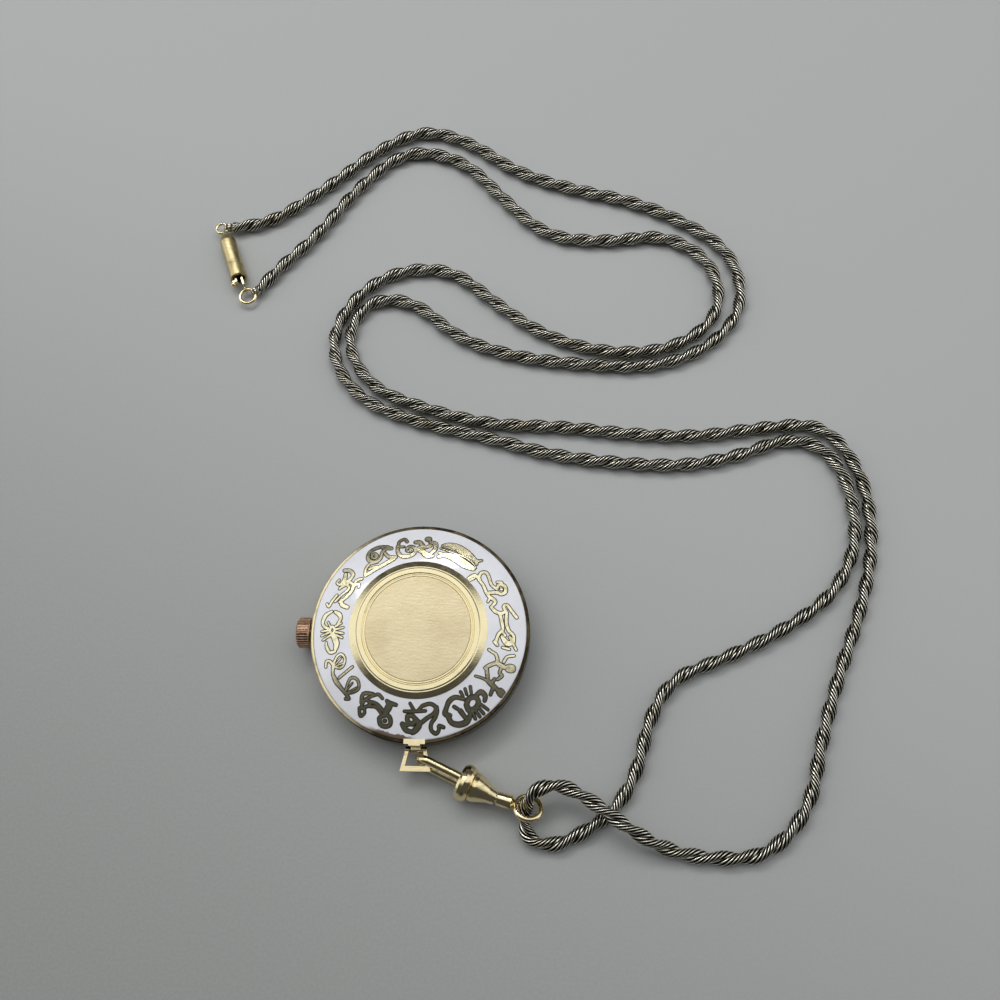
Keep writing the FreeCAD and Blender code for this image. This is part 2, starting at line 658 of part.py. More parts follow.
def balance_cock():
    foot = toward(BALANCE_PLACE, Vector(-8.1, -6.7, 0), BALANCE_RADIUS + 0.8)
    return arm(BALANCE_PLACE, foot, 1.1, COCK_BOTTOM, COCK_TOP).fuse(cylinder(0.55, PLATE_TOP, COCK_TOP, foot))


def pallet_bridge():
    foot = PALLET_PLACE + Vector(-0.1, -2.9, 0)
    bottom = PLATE_TOP + 0.85
    bar = arm(PALLET_PLACE, foot, 0.9, bottom, bottom + 0.35)
    return bar.fuse(cylinder(0.45, PLATE_TOP, bottom, foot))


def arbor(place, radius=ARBOR_RADIUS):
    return cylinder(radius, PLATE_TOP + 0.02, BRIDGE_BOTTOM - 0.02, place)


def train_wheel(place, teeth, radius, height, leaves, pinion_radius, pinion_span):
    """Arbor with a lightened wheel and a pinion."""
    bottom = PLATE_TOP + height
    wheel = toothed(teeth, radius, 0.14, bottom, bottom + WHEEL_THICKNESS, place)
    holes = []
    for window in range(5):
        angle = 2 * math.pi * window / 5
        offset = Vector(math.cos(angle), math.sin(angle), 0) * (radius * 0.55)
        holes.append(cylinder(radius * 0.24, bottom - 1, bottom + 1, place + offset))
    wheel = wheel.cut(Part.makeCompound(holes))
    pinion = toothed(leaves, pinion_radius, 0.12, PLATE_TOP + pinion_span[0], PLATE_TOP + pinion_span[1], place)
    return wheel.fuse(pinion).fuse(arbor(place))


def centre_wheel():
    return train_wheel(CENTRE, 64, CENTRE_WHEEL_RADIUS, 0.08, 12, CENTRE_PINION_RADIUS, (0.35, 1.1))


def third_wheel():
    return train_wheel(THIRD_PLACE, 60, THIRD_WHEEL_RADIUS, 0.6, 8, THIRD_PINION_RADIUS, (0.05, 0.35))


def fourth_wheel():
    return train_wheel(FOURTH_PLACE, 70, FOURTH_WHEEL_RADIUS, 0.9, 8, FOURTH_PINION_RADIUS, (0.45, 0.82))


def escape_wheel():
    return train_wheel(ESCAPE_PLACE, 15, ESCAPE_WHEEL_RADIUS, 0.55, 7, ESCAPE_PINION_RADIUS, (0.84, 1.1))


def pallet_fork():
    bottom = PLATE_TOP + 0.55
    top = bottom + WHEEL_THICKNESS
    lever = arm(PALLET_PLACE, toward(PALLET_PLACE, BALANCE_PLACE, 1.5), 0.36, bottom, top)
    across = (BALANCE_PLACE - PALLET_PLACE).cross(Z_AXIS).normalize() * 0.75
    anchor = arm(PALLET_PLACE - across, PALLET_PLACE + across, 0.36, bottom, top)
    pivot = cylinder(0.15, PLATE_TOP + 0.02, PLATE_TOP + 0.83, PALLET_PLACE)
    return lever.fuse(anchor).fuse(pivot)


def balance_wheel():
    bottom = BALANCE_BOTTOM
    top = bottom + 0.2
    rim = washer(BALANCE_RADIUS - 0.4, BALANCE_RADIUS, bottom, top, BALANCE_PLACE)
    reach = Vector(0, BALANCE_RADIUS - 0.3, 0)
    spoke = arm(BALANCE_PLACE - reach, BALANCE_PLACE + reach, 0.35, bottom, top)
    staff = cylinder(ARBOR_RADIUS, PLATE_TOP + 0.02, COCK_BOTTOM - 0.02, BALANCE_PLACE)
    roller = cylinder(0.55, PLATE_TOP + 0.3, PLATE_TOP + 0.45, BALANCE_PLACE)
    return rim.fuse(spoke).fuse(staff).fuse(roller)


def hairspring():
    """Flat coils of the hairspring, pinned up at the cock."""
    coils = [
        washer(radius, radius + 0.1, COCK_BOTTOM - 0.15, COCK_BOTTOM, BALANCE_PLACE)
        for radius in (0.5, 0.8, 1.1, 1.4)
    ]
    return coils[0].multiFuse(coils[1:] + [
        block((-1.45, -0.45), (-0.06, 0.06), (COCK_BOTTOM - 0.15, COCK_BOTTOM)).translated(BALANCE_PLACE)
    ])


def mainspring_barrel():
    bottom = PLATE_TOP + 0.35
    top = BRIDGE_BOTTOM - 0.1
    drum = toothed(72, BARREL_RADIUS, 0.16, bottom, top, BARREL_PLACE)
    drum = drum.cut(cylinder(BARREL_RADIUS - 0.7, bottom + 0.15, top - 0.15, BARREL_PLACE))
    return drum.cut(cylinder(0.55, bottom - 1, top + 1, BARREL_PLACE))


def mainspring():
    """Coiled mainspring, drawn as its wound bundle with room for the arbor."""
    bottom = PLATE_TOP + 0.35
    top = BRIDGE_BOTTOM - 0.1
    return washer(0.9, BARREL_RADIUS - 0.8, bottom + 0.2, top - 0.2, BARREL_PLACE)


def ratchet_wheel():
    """Ratchet wheel on the bridge with the square barrel arbor below it."""
    wheel = toothed(48, RATCHET_RADIUS, 0.18, BRIDGE_TOP + 0.03, BRIDGE_TOP + 0.28, BARREL_PLACE)
    return wheel.fuse(cylinder(0.5, PLATE_TOP + 0.02, BRIDGE_TOP + 0.03, BARREL_PLACE))


def crown_wheel():
    """Crown wheel with the round hub that it turns on."""
    wheel = toothed(28, CROWN_WHEEL_RADIUS, 0.18, BRIDGE_TOP + 0.03, BRIDGE_TOP + 0.28, CROWN_WHEEL_PLACE)
    return wheel.fuse(cylinder(0.7, BRIDGE_TOP + 0.28, BRIDGE_TOP + 0.36, CROWN_WHEEL_PLACE))


def click():
    place = toward(BARREL_PLACE, Vector(-6.0, 9.0, 0), RATCHET_RADIUS + 0.75)
    return arm(place, place + Vector(1.3, 0.75, 0), 0.7, BRIDGE_TOP, BRIDGE_TOP + 0.25)


def setting_lever():
    """Lever under the plate that steps the stem; it turns on a stud beside the slot."""
    pivot = Vector(WINDING_PINION_START, PINION_RADIUS + PINION_GAP + 0.9, 0)
    return arm(pivot, pivot + Vector(2.4, 0.9, 0), 0.8, DIAL_TOP + 0.1, PLATE_BOTTOM - 0.3)


SCREW_ANGLES = [139.5, 36.7, -51.2, -6.6]


def movement_screws():
    heads = []
    for angle in SCREW_ANGLES:
        place = Rotation(Z_AXIS, angle).multVec(X_AXIS) * (BRIDGE_RADIUS - PILLAR_WIDTH / 2)
        head = cylinder(0.55, BRIDGE_TOP, BRIDGE_TOP + 0.25, place)
        slot = block((-1, 1), (-0.07, 0.07), (BRIDGE_TOP + 0.13, BRIDGE_TOP + 1)).translated(place)
        heads.append(head.cut(slot))
    return Part.makeCompound(heads)


def jewels():
    stones = [
        washer(0.12, 0.4, BRIDGE_TOP, BRIDGE_TOP + 0.06, place)
        for place in (THIRD_PLACE, FOURTH_PLACE, ESCAPE_PLACE)
    ]
    stones.append(washer(0.12, 0.4, COCK_TOP, COCK_TOP + 0.06, BALANCE_PLACE))
    return Part.makeCompound(stones)


def barrel_bridge_with_holes():
    return barrel_bridge().cut(cylinder(0.55, 0, 2 * BRIDGE_TOP, BARREL_PLACE))


def pendant_lug(case):
    """Tab over the lip, strap down the wall and the knuckle that carries the bail."""
    strap = block(
        (-STRAP_WIDTH / 2, STRAP_WIDTH / 2),
        (-CASE_RADIUS - STRAP_THICKNESS, -CASE_RADIUS + 0.3),
        (BAIL_HEIGHT + KNUCKLE_RADIUS + 0.1, TAB_TOP),
    )
    half = KNUCKLE_WIDTH / 2
    knuckle = along_x(KNUCKLE_RADIUS, -half, half, PIN_PLACE.y, PIN_PLACE.z)
    web = block(
        (-half, half),
        (PIN_PLACE.y, -CASE_RADIUS + 0.3),
        (BAIL_HEIGHT - KNUCKLE_RADIUS, BAIL_HEIGHT + KNUCKLE_RADIUS + 0.2),
    )
    lug = lug_tab().fuse(strap).fuse(web).fuse(knuckle).cut(case)
    return lug.cut(along_x(PIN_RADIUS + PIN_GAP, -half - 1, half + 1, PIN_PLACE.y, PIN_PLACE.z))


def bail():
    """Stirrup of flat strip, wider at its foot, with its two ends on the pin."""
    top = PIN_PLACE.y
    foot = top - BAIL_LENGTH

    def outline(top_half, bottom_half, y_top, y_bottom):
        corners = [(-top_half, y_top), (top_half, y_top), (bottom_half, y_bottom), (-bottom_half, y_bottom)]
        points = [Vector(x, y, BAIL_HEIGHT - BAIL_THICKNESS / 2) for x, y in corners]
        return Part.Face(Part.makePolygon(points + points[:1])).extrude(Z_AXIS * BAIL_THICKNESS)

    body = outline(BAIL_TOP_WIDTH / 2, BAIL_BOTTOM_WIDTH / 2, top, foot)
    inner_foot = foot + BAIL_WIRE
    inner_top_half = BAIL_TOP_WIDTH / 2 - BAIL_WIRE
    body = body.cut(outline(inner_top_half, BAIL_BOTTOM_WIDTH / 2 - BAIL_WIRE, top + 1, inner_foot))
    for side in (-1, 1):
        inner = side * (KNUCKLE_WIDTH / 2 + 0.07)
        outer = side * BAIL_TOP_WIDTH / 2
        ear = along_x(KNUCKLE_RADIUS, min(inner, outer), max(inner, outer), top, BAIL_HEIGHT)
        body = body.fuse(ear)
    return body.cut(along_x(PIN_RADIUS, -BAIL_TOP_WIDTH, BAIL_TOP_WIDTH, top, BAIL_HEIGHT))


def bail_pin():
    return along_x(PIN_RADIUS, -BAIL_TOP_WIDTH / 2, BAIL_TOP_WIDTH / 2, PIN_PLACE.y, PIN_PLACE.z)


def hook_frame(shape, roll=0.0):
    """Moves a shape from the swivel's own frame to the watch."""
    turn = Rotation(Z_AXIS, HOOK_BEARING) * Rotation(X_AXIS, -roll)
    shape = shape.copy()
    shape.Placement = Placement(HOOK_PLACE, turn) * shape.Placement
    return shape


CAVITY_FLOOR = CAVITY_DEPTH - BULB_FRONT


def hook():
    """Bent wire: the spine, the round nose and the short end that the gate closes on."""
    points = [
        Vector(CAVITY_FLOOR, 0, -HOOK_SPREAD),
        Vector(-HOOK_REACH, 0, -HOOK_SPREAD),
        Vector(-HOOK_REACH, 0, HOOK_SPREAD),
        Vector(-GATE_START, 0, HOOK_SPREAD),
    ]
    bend = HOOK_SPREAD - 0.01
    return hook_frame(rod(points, [bend, bend], HOOK_WIRE)[0], HOOK_ROLL)


def gate():
    """Hinged gate, a round bar with a ball end on its pin."""
    bar = along_x(HOOK_WIRE / 2, -GATE_START + GATE_GAP, -GATE_PIVOT, 0, HOOK_SPREAD)
    ball = Part.makeSphere(HOOK_WIRE / 2, Vector(-GATE_PIVOT, 0, HOOK_SPREAD))
    hole = Part.makeCylinder(
        GATE_PIN_RADIUS + PIN_GAP, 2 * HOOK_WIRE, Vector(-GATE_PIVOT, -HOOK_WIRE, HOOK_SPREAD), Y_AXIS
    )
    return hook_frame(bar.fuse(ball).cut(hole), HOOK_ROLL)


def gate_pin_local():
    half = GATE_PIN_LENGTH / 2
    return Part.makeCylinder(GATE_PIN_RADIUS, 2 * half, Vector(-GATE_PIVOT, -half, HOOK_SPREAD), Y_AXIS)


def gate_pin():
    return hook_frame(gate_pin_local(), HOOK_ROLL)


def gate_spring():
    """Coil round the gate pin beside the gate, with a leg that bears on the cavity floor."""
    start = HOOK_WIRE / 2 + 0.05
    outer = GATE_PIN_RADIUS + GATE_COIL
    ring = Part.makeCylinder(outer, 0.45, Vector(-GATE_PIVOT, start, HOOK_SPREAD), Y_AXIS)
    bore = Part.makeCylinder(GATE_PIN_RADIUS, 0.45, Vector(-GATE_PIVOT, start, HOOK_SPREAD), Y_AXIS)
    leg = block((-GATE_PIVOT, CAVITY_FLOOR), (start, start + 0.2), (HOOK_SPREAD - outer, HOOK_SPREAD - GATE_PIN_RADIUS))
    return hook_frame(ring.fuse(leg).cut(bore), HOOK_ROLL)


def swivel_barrel():
    """Bulb and cone of the swivel: a cavity in front for the gate, a chamber behind for the eye's head."""
    steps = 6
    bulb_mid = (BULB_BACK - BULB_FRONT) / 2
    bulb_half = (BULB_BACK + BULB_FRONT) / 2
    waist = BULB_RADIUS - 0.75
    profile = [(-BULB_FRONT, 0)]
    for step in range(steps + 1):
        angle = math.pi * (1 - step / steps)
        profile.append((bulb_mid + bulb_half * math.cos(angle), waist + (BULB_RADIUS - waist) * math.sin(angle)))
    profile += [
        (BULB_BACK + 0.15, CONE_RADIUS),
        (BULB_BACK + 0.7, CONE_RADIUS - 0.05),
        (CONE_END - 1.2, CONE_END_RADIUS + 0.25),
        (CONE_END, CONE_END_RADIUS),
        (CONE_END, 0),
    ]
    body = turned_along_x(profile)
    cavity = along_x(CAVITY_RADIUS - 0.5, -BULB_FRONT - 1, -BULB_FRONT + 0.3)
    cavity = cavity.fuse(along_x(CAVITY_RADIUS, -BULB_FRONT + 0.3, CAVITY_FLOOR))
    mouth = block((-BULB_FRONT - 1, CAVITY_FLOOR), (-HOOK_WIRE / 2 - 0.12, HOOK_WIRE / 2 + 0.12), (-CAVITY_RADIUS, CAVITY_RADIUS))
    mouth = mouth.common(along_x(CAVITY_RADIUS, -BULB_FRONT - 1, CAVITY_FLOOR))
    body = body.cut(cavity).cut(mouth).cut(gate_pin_local())
    chamber_end = CONE_END - 1.1
    body = body.cut(along_x(CHAMBER_RADIUS, chamber_end - HEAD_LENGTH - 0.8, chamber_end))
    return hook_frame(body.cut(along_x(SHANK_RADIUS + SHANK_GAP, chamber_end - 1, CONE_END + 1)), HOOK_ROLL)


EYE_MEAN_RADIUS = EYE_HOLE_RADIUS + EYE_WIRE / 2


def swivel_eye():
    """Eye that the chain runs through; its shank and head turn in the swivel, and its collar hangs a little askew."""
    head_end = CONE_END - 1.2
    shank = along_x(HEAD_RADIUS, head_end - HEAD_LENGTH, head_end)
    shank = shank.fuse(along_x(SHANK_RADIUS, head_end, CONE_END + COLLAR_GAP + 0.4))
    collar = turned_along_x([
        (COLLAR_GAP, 0),
        (COLLAR_GAP, COLLAR_RADIUS - 0.1),
        (COLLAR_GAP + 0.1, COLLAR_RADIUS),
        (COLLAR_GAP + COLLAR_LENGTH, COLLAR_RADIUS + 0.12),
        (COLLAR_GAP + COLLAR_LENGTH + 0.5, EYE_WIRE / 2),
        (COLLAR_GAP + COLLAR_LENGTH + 0.5, 0),
    ])
    ring_place = Vector(COLLAR_GAP + COLLAR_LENGTH + EYE_NECK + EYE_MEAN_RADIUS, 0, 0)
    ring = torus(EYE_MEAN_RADIUS, EYE_WIRE, ring_place)
    ring.rotate(CENTRE, X_AXIS, EYE_TILT)
    hole = Part.makeCylinder(EYE_HOLE_RADIUS, 6, ring_place - Z_AXIS * 3)
    hole.rotate(CENTRE, X_AXIS, EYE_TILT)
    eye = collar.cut(hole).fuse(ring)
    eye.rotate(CENTRE, Z_AXIS, EYE_COCK)
    eye.translate(Vector(CONE_END, 0, 0))
    return hook_frame(shank.fuse(eye))


def clasp_frame(shape):
    shape = shape.copy()
    shape.Placement = Placement(CLASP_TIP, Rotation(Z_AXIS, CLASP_BEARING)) * shape.Placement
    return shape


def clasp_barrel():
    """Barrel of the clasp: a domed tip with a neck for its ring, a body, a raised rim and an open bore."""
    body = turned_along_x([
        (-0.35, 0),
        (-0.35, 0.3),
        (0, 0.45),
        (0.5, CLASP_RADIUS * 0.6),
        (1.2, CLASP_RADIUS * 0.85),
        (2.2, CLASP_RADIUS),
        (CLASP_LENGTH - CLASP_RIM_WIDTH, CLASP_RADIUS),
        (CLASP_LENGTH - CLASP_RIM_WIDTH + 0.1, CLASP_RADIUS + CLASP_RIM),
        (CLASP_LENGTH - 0.1, CLASP_RADIUS + CLASP_RIM),
        (CLASP_LENGTH, CLASP_RADIUS),
        (CLASP_LENGTH, 0),
    ])
    body = body.cut(along_x(CLASP_BORE, CLASP_SOLID, CLASP_LENGTH + 1))
    return clasp_frame(body.cut(ring_a_local()))


def ring_a_local():
    return torus(RING_A_RADIUS, RING_A_WIRE, Vector(-0.35 - RING_A_RADIUS, -0.3, -0.15))


def ring_a():
    return clasp_frame(ring_a_local())


RING_B_PLACE = Vector(LEAF_TAIL + 0.1 + RING_B_RADIUS + TAIL_LOOP_RADIUS, LEAF_OFFSET, -0.35)


def ring_b():
    return clasp_frame(torus(RING_B_RADIUS, RING_B_WIRE, RING_B_PLACE))


def clasp_tongue():
    """Spring tongue: the fixed leaf with its fold, and a tail loop round the end ring."""
    start = CLASP_SOLID + 0.8
    leaf = block((start, LEAF_TAIL), (LEAF_OFFSET - LEAF_THICKNESS / 2, LEAF_OFFSET + LEAF_THICKNESS / 2),
                 (-LEAF_WIDTH / 2, LEAF_WIDTH / 2))
    fold = block((start - 0.3, start), (-0.1, LEAF_OFFSET + LEAF_THICKNESS / 2), (-LEAF_WIDTH / 2, LEAF_WIDTH / 2))
    loop_place = Vector(LEAF_TAIL + TAIL_LOOP_RADIUS, LEAF_OFFSET, RING_B_PLACE.z)
    loop = torus(TAIL_LOOP_RADIUS, TAIL_LOOP_WIRE, loop_place, Y_AXIS)
    return clasp_frame(leaf.fuse(fold).fuse(loop))


def clasp_tab():
    """Free leaf of the tongue with the thumb nub outside the barrel."""
    start = CLASP_SOLID + 0.6
    end = CLASP_LENGTH + 0.9
    low = -LEAF_OFFSET - LEAF_THICKNESS / 2
    leaf = block((start, end), (low, low + LEAF_THICKNESS), (-LEAF_WIDTH / 2, LEAF_WIDTH / 2))
    step = block((CLASP_LENGTH + 0.45, end), (low - 0.55, low), (-NUB_RADIUS, NUB_RADIUS))
    nub = Part.makeSphere(NUB_RADIUS, Vector(CLASP_LENGTH + 1.0, low - 0.55, 0))
    return clasp_frame(leaf.fuse(step).fuse(nub))


def chain_stretches():
    """The chain as plain tubes that meet in the middle of the run between one list of points and the next."""
    points = [Vector(*point) for stretch in COURSE.values() for point in stretch]
    bends = [
        bend_radius(points[index - 1], points[index], points[index + 1])
        for index in range(1, len(points) - 1)
    ]
    total = 0.0
    start = 0
    shapes = {}
    for name, stretch in COURSE.items():
        end = start + len(stretch)
        part = points[start:end]
        corners = bends[max(start - 1, 0):end - 1]
        if start > 0:
            part.insert(0, (points[start - 1] + points[start]) * 0.5)
        if end < len(points):
            part.append((points[end - 1] + points[end]) * 0.5)
        radii = [radius for radius, turn in corners]
        tube, length = rod(part, radii, CHAIN_DIAMETER)
        expected = math.pi * CHAIN_DIAMETER ** 2 / 4 * length
        print("%-26s length %7.2f  volume over section times length %.5f" % (name, length, tube.Volume / expected))
        total += length
        shapes[name] = tube
        start = end
    print("chain length %.1f, radii:" % total, " ".join("%.1f" % radius for radius, turn in bends))
    return shapes


def main():
    os.makedirs("parts", exist_ok=True)
    case = case_middle()
    pieces = {
        "case_middle": case,
        "bezel": bezel(),
        "crystal": crystal(),
        "case_back": case_back(),
        "back_gasket": back_gasket(),
        "enamel_ring": enamel_ring(),
        "back_ring": back_ring(),
        "back_disc": back_disc(),
        "case_tube": case_tube(),
        "crown": crown(),
        "crown_gasket": crown_gasket(),
        "winding_stem": winding_stem(),
        "sliding_pinion": sliding_pinion(),
        "winding_pinion": winding_pinion(),
        "setting_lever": setting_lever(),
        "dial": dial(),
        "hour_markers": hour_markers(),
        "hour_hand": hour_hand(),
        "minute_hand": minute_hand(),
        "cannon_pinion": cannon_pinion(),
        "hour_wheel": hour_wheel(),
        "minute_wheel": minute_wheel(),
        "movement_ring": movement_ring(),
        "mainplate": mainplate(),
        "barrel_bridge": barrel_bridge_with_holes(),
        "train_bridge": train_bridge(),
        "balance_cock": balance_cock(),
        "pallet_bridge": pallet_bridge(),
        "mainspring_barrel": mainspring_barrel(),
        "mainspring": mainspring(),
        "ratchet_wheel": ratchet_wheel(),
        "crown_wheel": crown_wheel(),
        "click": click(),
        "centre_wheel": centre_wheel(),
        "third_wheel": third_wheel(),
        "fourth_wheel": fourth_wheel(),
        "escape_wheel": escape_wheel(),
        "pallet_fork": pallet_fork(),
        "balance_wheel": balance_wheel(),
        "hairspring": hairspring(),
        "jewels": jewels(),
        "movement_screws": movement_screws(),
        "pendant_lug": pendant_lug(case),
        "bail_pin": bail_pin(),
        "bail": bail(),
        "hook": hook(),
        "gate": gate(),
        "gate_pin": gate_pin(),
        "gate_spring": gate_spring(),
        "swivel_barrel": swivel_barrel(),
        "swivel_eye": swivel_eye(),
        "clasp_barrel": clasp_barrel(),
        "ring_a": ring_a(),
        "clasp_tongue": clasp_tongue(),
        "clasp_tab": clasp_tab(),
        "ring_b": ring_b(),
    }
    pieces.update(chain_stretches())
    for name, shape in pieces.items():
        save(name, shape)


main()
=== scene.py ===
import math

import bpy
from mathutils import Matrix, Vector
from mathutils.bvhtree import BVHTree


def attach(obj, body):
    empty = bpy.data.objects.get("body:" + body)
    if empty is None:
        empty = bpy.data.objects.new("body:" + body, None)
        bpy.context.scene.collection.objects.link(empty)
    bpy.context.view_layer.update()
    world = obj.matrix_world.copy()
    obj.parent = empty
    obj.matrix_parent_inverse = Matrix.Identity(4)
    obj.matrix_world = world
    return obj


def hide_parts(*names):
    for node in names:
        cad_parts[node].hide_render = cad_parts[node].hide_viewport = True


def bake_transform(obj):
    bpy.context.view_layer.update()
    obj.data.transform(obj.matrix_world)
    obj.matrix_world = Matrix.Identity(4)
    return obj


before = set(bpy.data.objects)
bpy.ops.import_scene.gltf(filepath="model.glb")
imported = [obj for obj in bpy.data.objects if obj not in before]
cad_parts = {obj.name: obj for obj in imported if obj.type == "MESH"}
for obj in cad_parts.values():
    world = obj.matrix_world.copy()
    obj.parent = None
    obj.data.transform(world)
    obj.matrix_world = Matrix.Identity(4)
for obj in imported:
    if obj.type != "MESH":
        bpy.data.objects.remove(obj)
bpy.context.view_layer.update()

MM = 0.001
scene = bpy.context.scene
scene.view_settings.view_transform = "Standard"


def add_mesh(name, points, faces, smooth=True):
    """A new object from points in metres and faces as tuples of point numbers."""
    mesh = bpy.data.meshes.new(name)
    mesh.from_pydata([tuple(p) for p in points], [], faces)
    mesh.polygons.foreach_set("use_smooth", [smooth] * len(mesh.polygons))
    mesh.update()
    piece = bpy.data.objects.new(name, mesh)
    scene.collection.objects.link(piece)
    return piece


def finish_piece(piece, body, material):
    """Gives a piece its material and its body."""
    piece.data.materials.clear()
    piece.data.materials.append(material)
    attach(piece, body)


def set_crests(piece, crests):
    """Each point's height on its wire, from 0 in the gap to 1 on the crest, for the material."""
    piece.data.attributes.new("crest", "FLOAT", "POINT").data.foreach_set("value", crests)


# The camera stands where the photo's stood: above the table, leaning from its near side.
camera_data = bpy.data.cameras.new("camera")
camera_data.lens = 36.0
camera_data.sensor_width = 36.0
camera_data.clip_start = 0.005
camera = bpy.data.objects.new("camera", camera_data)
scene.collection.objects.link(camera)
camera.matrix_world = Matrix((
    (0.9986, -0.0035, 0.0532, 0.02110),
    (0.0209, 0.9437, -0.3301, -0.03249),
    (-0.0490, 0.3308, 0.9424, 0.16150),
    (0.0, 0.0, 0.0, 1.0),
))
scene.camera = camera


class Finish:
    """A material under construction: its node tree, and short ways to add nodes to it."""

    def __init__(self, name, colour, metallic=0.0, roughness=0.5, **sockets):
        self.material = bpy.data.materials.new(name)
        self.material.use_nodes = True
        self.tree = self.material.node_tree
        self.shader = self.tree.nodes["Principled BSDF"]
        self.shader.inputs["Base Color"].default_value = (*colour, 1.0)
        self.shader.inputs["Metallic"].default_value = metallic
        self.shader.inputs["Roughness"].default_value = roughness
        for socket, value in sockets.items():
            self.shader.inputs[socket.replace("_", " ")].default_value = value
        self.place = self.add("ShaderNodeTexCoord").outputs["Object"]

    def add(self, kind, **settings):
        node = self.tree.nodes.new(kind)
        for key, value in settings.items():
            setattr(node, key, value)
        return node

    def join(self, source, target):
        self.tree.links.new(source, target)

    def stretched(self, scale):
        mapping = self.add("ShaderNodeMapping")
        mapping.inputs["Scale"].default_value = scale
        self.join(self.place, mapping.inputs["Vector"])
        return mapping.outputs["Vector"]

    def noise(self, scale, detail=3.0, roughness=0.55, distortion=0.0, place=None):
        node = self.add("ShaderNodeTexNoise")
        node.inputs["Scale"].default_value = scale
        node.inputs["Detail"].default_value = detail
        node.inputs["Roughness"].default_value = roughness
        node.inputs["Distortion"].default_value = distortion
        self.join(place or self.place, node.inputs["Vector"])
        return node.outputs["Fac"]

    def ramp(self, value, low, high, to_low=0.0, to_high=1.0):
        node = self.add("ShaderNodeMapRange", interpolation_type="SMOOTHSTEP")
        self.join(value, node.inputs["Value"])
        node.inputs["From Min"].default_value = low
        node.inputs["From Max"].default_value = high
        node.inputs["To Min"].default_value = to_low
        node.inputs["To Max"].default_value = to_high
        return node.outputs["Result"]

    def combine(self, operation, first, second):
        node = self.add("ShaderNodeMath", operation=operation)
        for socket, value in zip(node.inputs, (first, second)):
            if isinstance(value, (int, float)):
                socket.default_value = value
            else:
                self.join(value, socket)
        return node.outputs["Value"]

    def blend(self, factor, first, second):
        """A colour between first and second, each a colour or another node's output."""
        node = self.add("ShaderNodeMix", data_type="RGBA")
        self.join(factor, node.inputs["Factor"])
        for socket, colour in ((node.inputs[6], first), (node.inputs[7], second)):
            if isinstance(colour, tuple):
                socket.default_value = (*colour, 1.0)
            else:
                self.join(colour, socket)
        return node.outputs[2]

    def colour(self, output):
        self.join(output, self.shader.inputs["Base Color"])

    def roughness(self, output):
        self.join(output, self.shader.inputs["Roughness"])

    def bump(self, height, distance, strength=1.0):
        node = self.add("ShaderNodeBump")
        node.inputs["Strength"].default_value = strength
        node.inputs["Distance"].default_value = distance
        self.join(height, node.inputs["Height"])
        self.join(node.outputs["Normal"], self.shader.inputs["Normal"])


def polished_gold(name, colour, shade, roughness, tarnish):
    """Worn gold: patches of tarnish, uneven polish and fine scratches."""
    gold = Finish(name, colour, metallic=1.0, roughness=roughness)
    patches = gold.noise(520.0, detail=5.0, roughness=0.62)
    gold.colour(gold.blend(gold.ramp(patches, 0.62 - tarnish, 0.80 - tarnish * 0.5), colour, shade))
    gold.roughness(gold.ramp(patches, 0.30, 0.75, roughness * 0.75, roughness * 1.5))
    scratches = gold.noise(900.0, detail=2.0, place=gold.stretched((1.0, 7.0, 3.0)))
    gold.bump(scratches, 0.00001)
    return gold.material


def satin_gold():
    """The plain disc in the middle of the back: a fine matt grain with light scratches."""
    gold = Finish("satin_gold", (0.60, 0.52, 0.31), metallic=1.0, roughness=0.42)
    cloud = gold.noise(150.0, detail=5.0, roughness=0.6)
    grain = gold.noise(2600.0, detail=3.0)
    warm = gold.blend(gold.ramp(cloud, 0.35, 0.70), (0.73, 0.62, 0.385), (0.63, 0.515, 0.31))
    gold.colour(gold.blend(gold.ramp(grain, 0.35, 0.75, 0.0, 0.40), warm, (0.77, 0.70, 0.50)))
    gold.roughness(gold.ramp(grain, 0.30, 0.70, 0.36, 0.50))
    marks = gold.noise(700.0, detail=4.0, place=gold.stretched((1.0, 5.0, 1.0)))
    gold.bump(gold.combine("ADD", grain, marks), 0.000018)
    return gold.material


# The chip in the enamel's rim and the hairlines, in metres and in the noise's own range.
CHIP_RADIUS = (0.01692, 0.01706)
CHIP_DOWN = (-0.0146, -0.0158)
CHIP_ACROSS = (0.0006, -0.0016)
CHIP_RAGGED = 0.0012
HAIRLINE_WIDTH = 0.0035


def chipped_edge(glaze):
    """How far a point lies in the ragged chip at the ring's outer edge, beside the tab."""
    place = glaze.add("ShaderNodeSeparateXYZ")
    glaze.join(glaze.place, place.inputs["Vector"])
    radius = glaze.add("ShaderNodeVectorMath", operation="LENGTH")
    glaze.join(glaze.stretched((1.0, 1.0, 0.0)), radius.inputs[0])
    ragged = glaze.combine("MULTIPLY", glaze.noise(900.0, detail=5.0, roughness=0.7), CHIP_RAGGED)
    edge = glaze.ramp(glaze.combine("ADD", radius.outputs["Value"], ragged), *CHIP_RADIUS)
    down = glaze.ramp(place.outputs["Y"], *CHIP_DOWN)
    across = glaze.ramp(place.outputs["X"], *CHIP_ACROSS)
    return glaze.combine("MULTIPLY", edge, glaze.combine("MULTIPLY", down, across))


def hairlines(glaze, cloud):
    """Fine cracks, only where the glaze is cloudy."""
    hair = glaze.noise(420.0, detail=1.0, distortion=0.6, place=glaze.stretched((1.0, 0.35, 1.0)))
    away = glaze.combine("ABSOLUTE", glaze.combine("SUBTRACT", hair, 0.5), 0.0)
    crack = glaze.combine("SUBTRACT", 1.0, glaze.ramp(away, 0.0, HAIRLINE_WIDTH))
    return glaze.combine("MULTIPLY", crack, glaze.ramp(cloud, 0.55, 0.68, 0.0, 0.5))


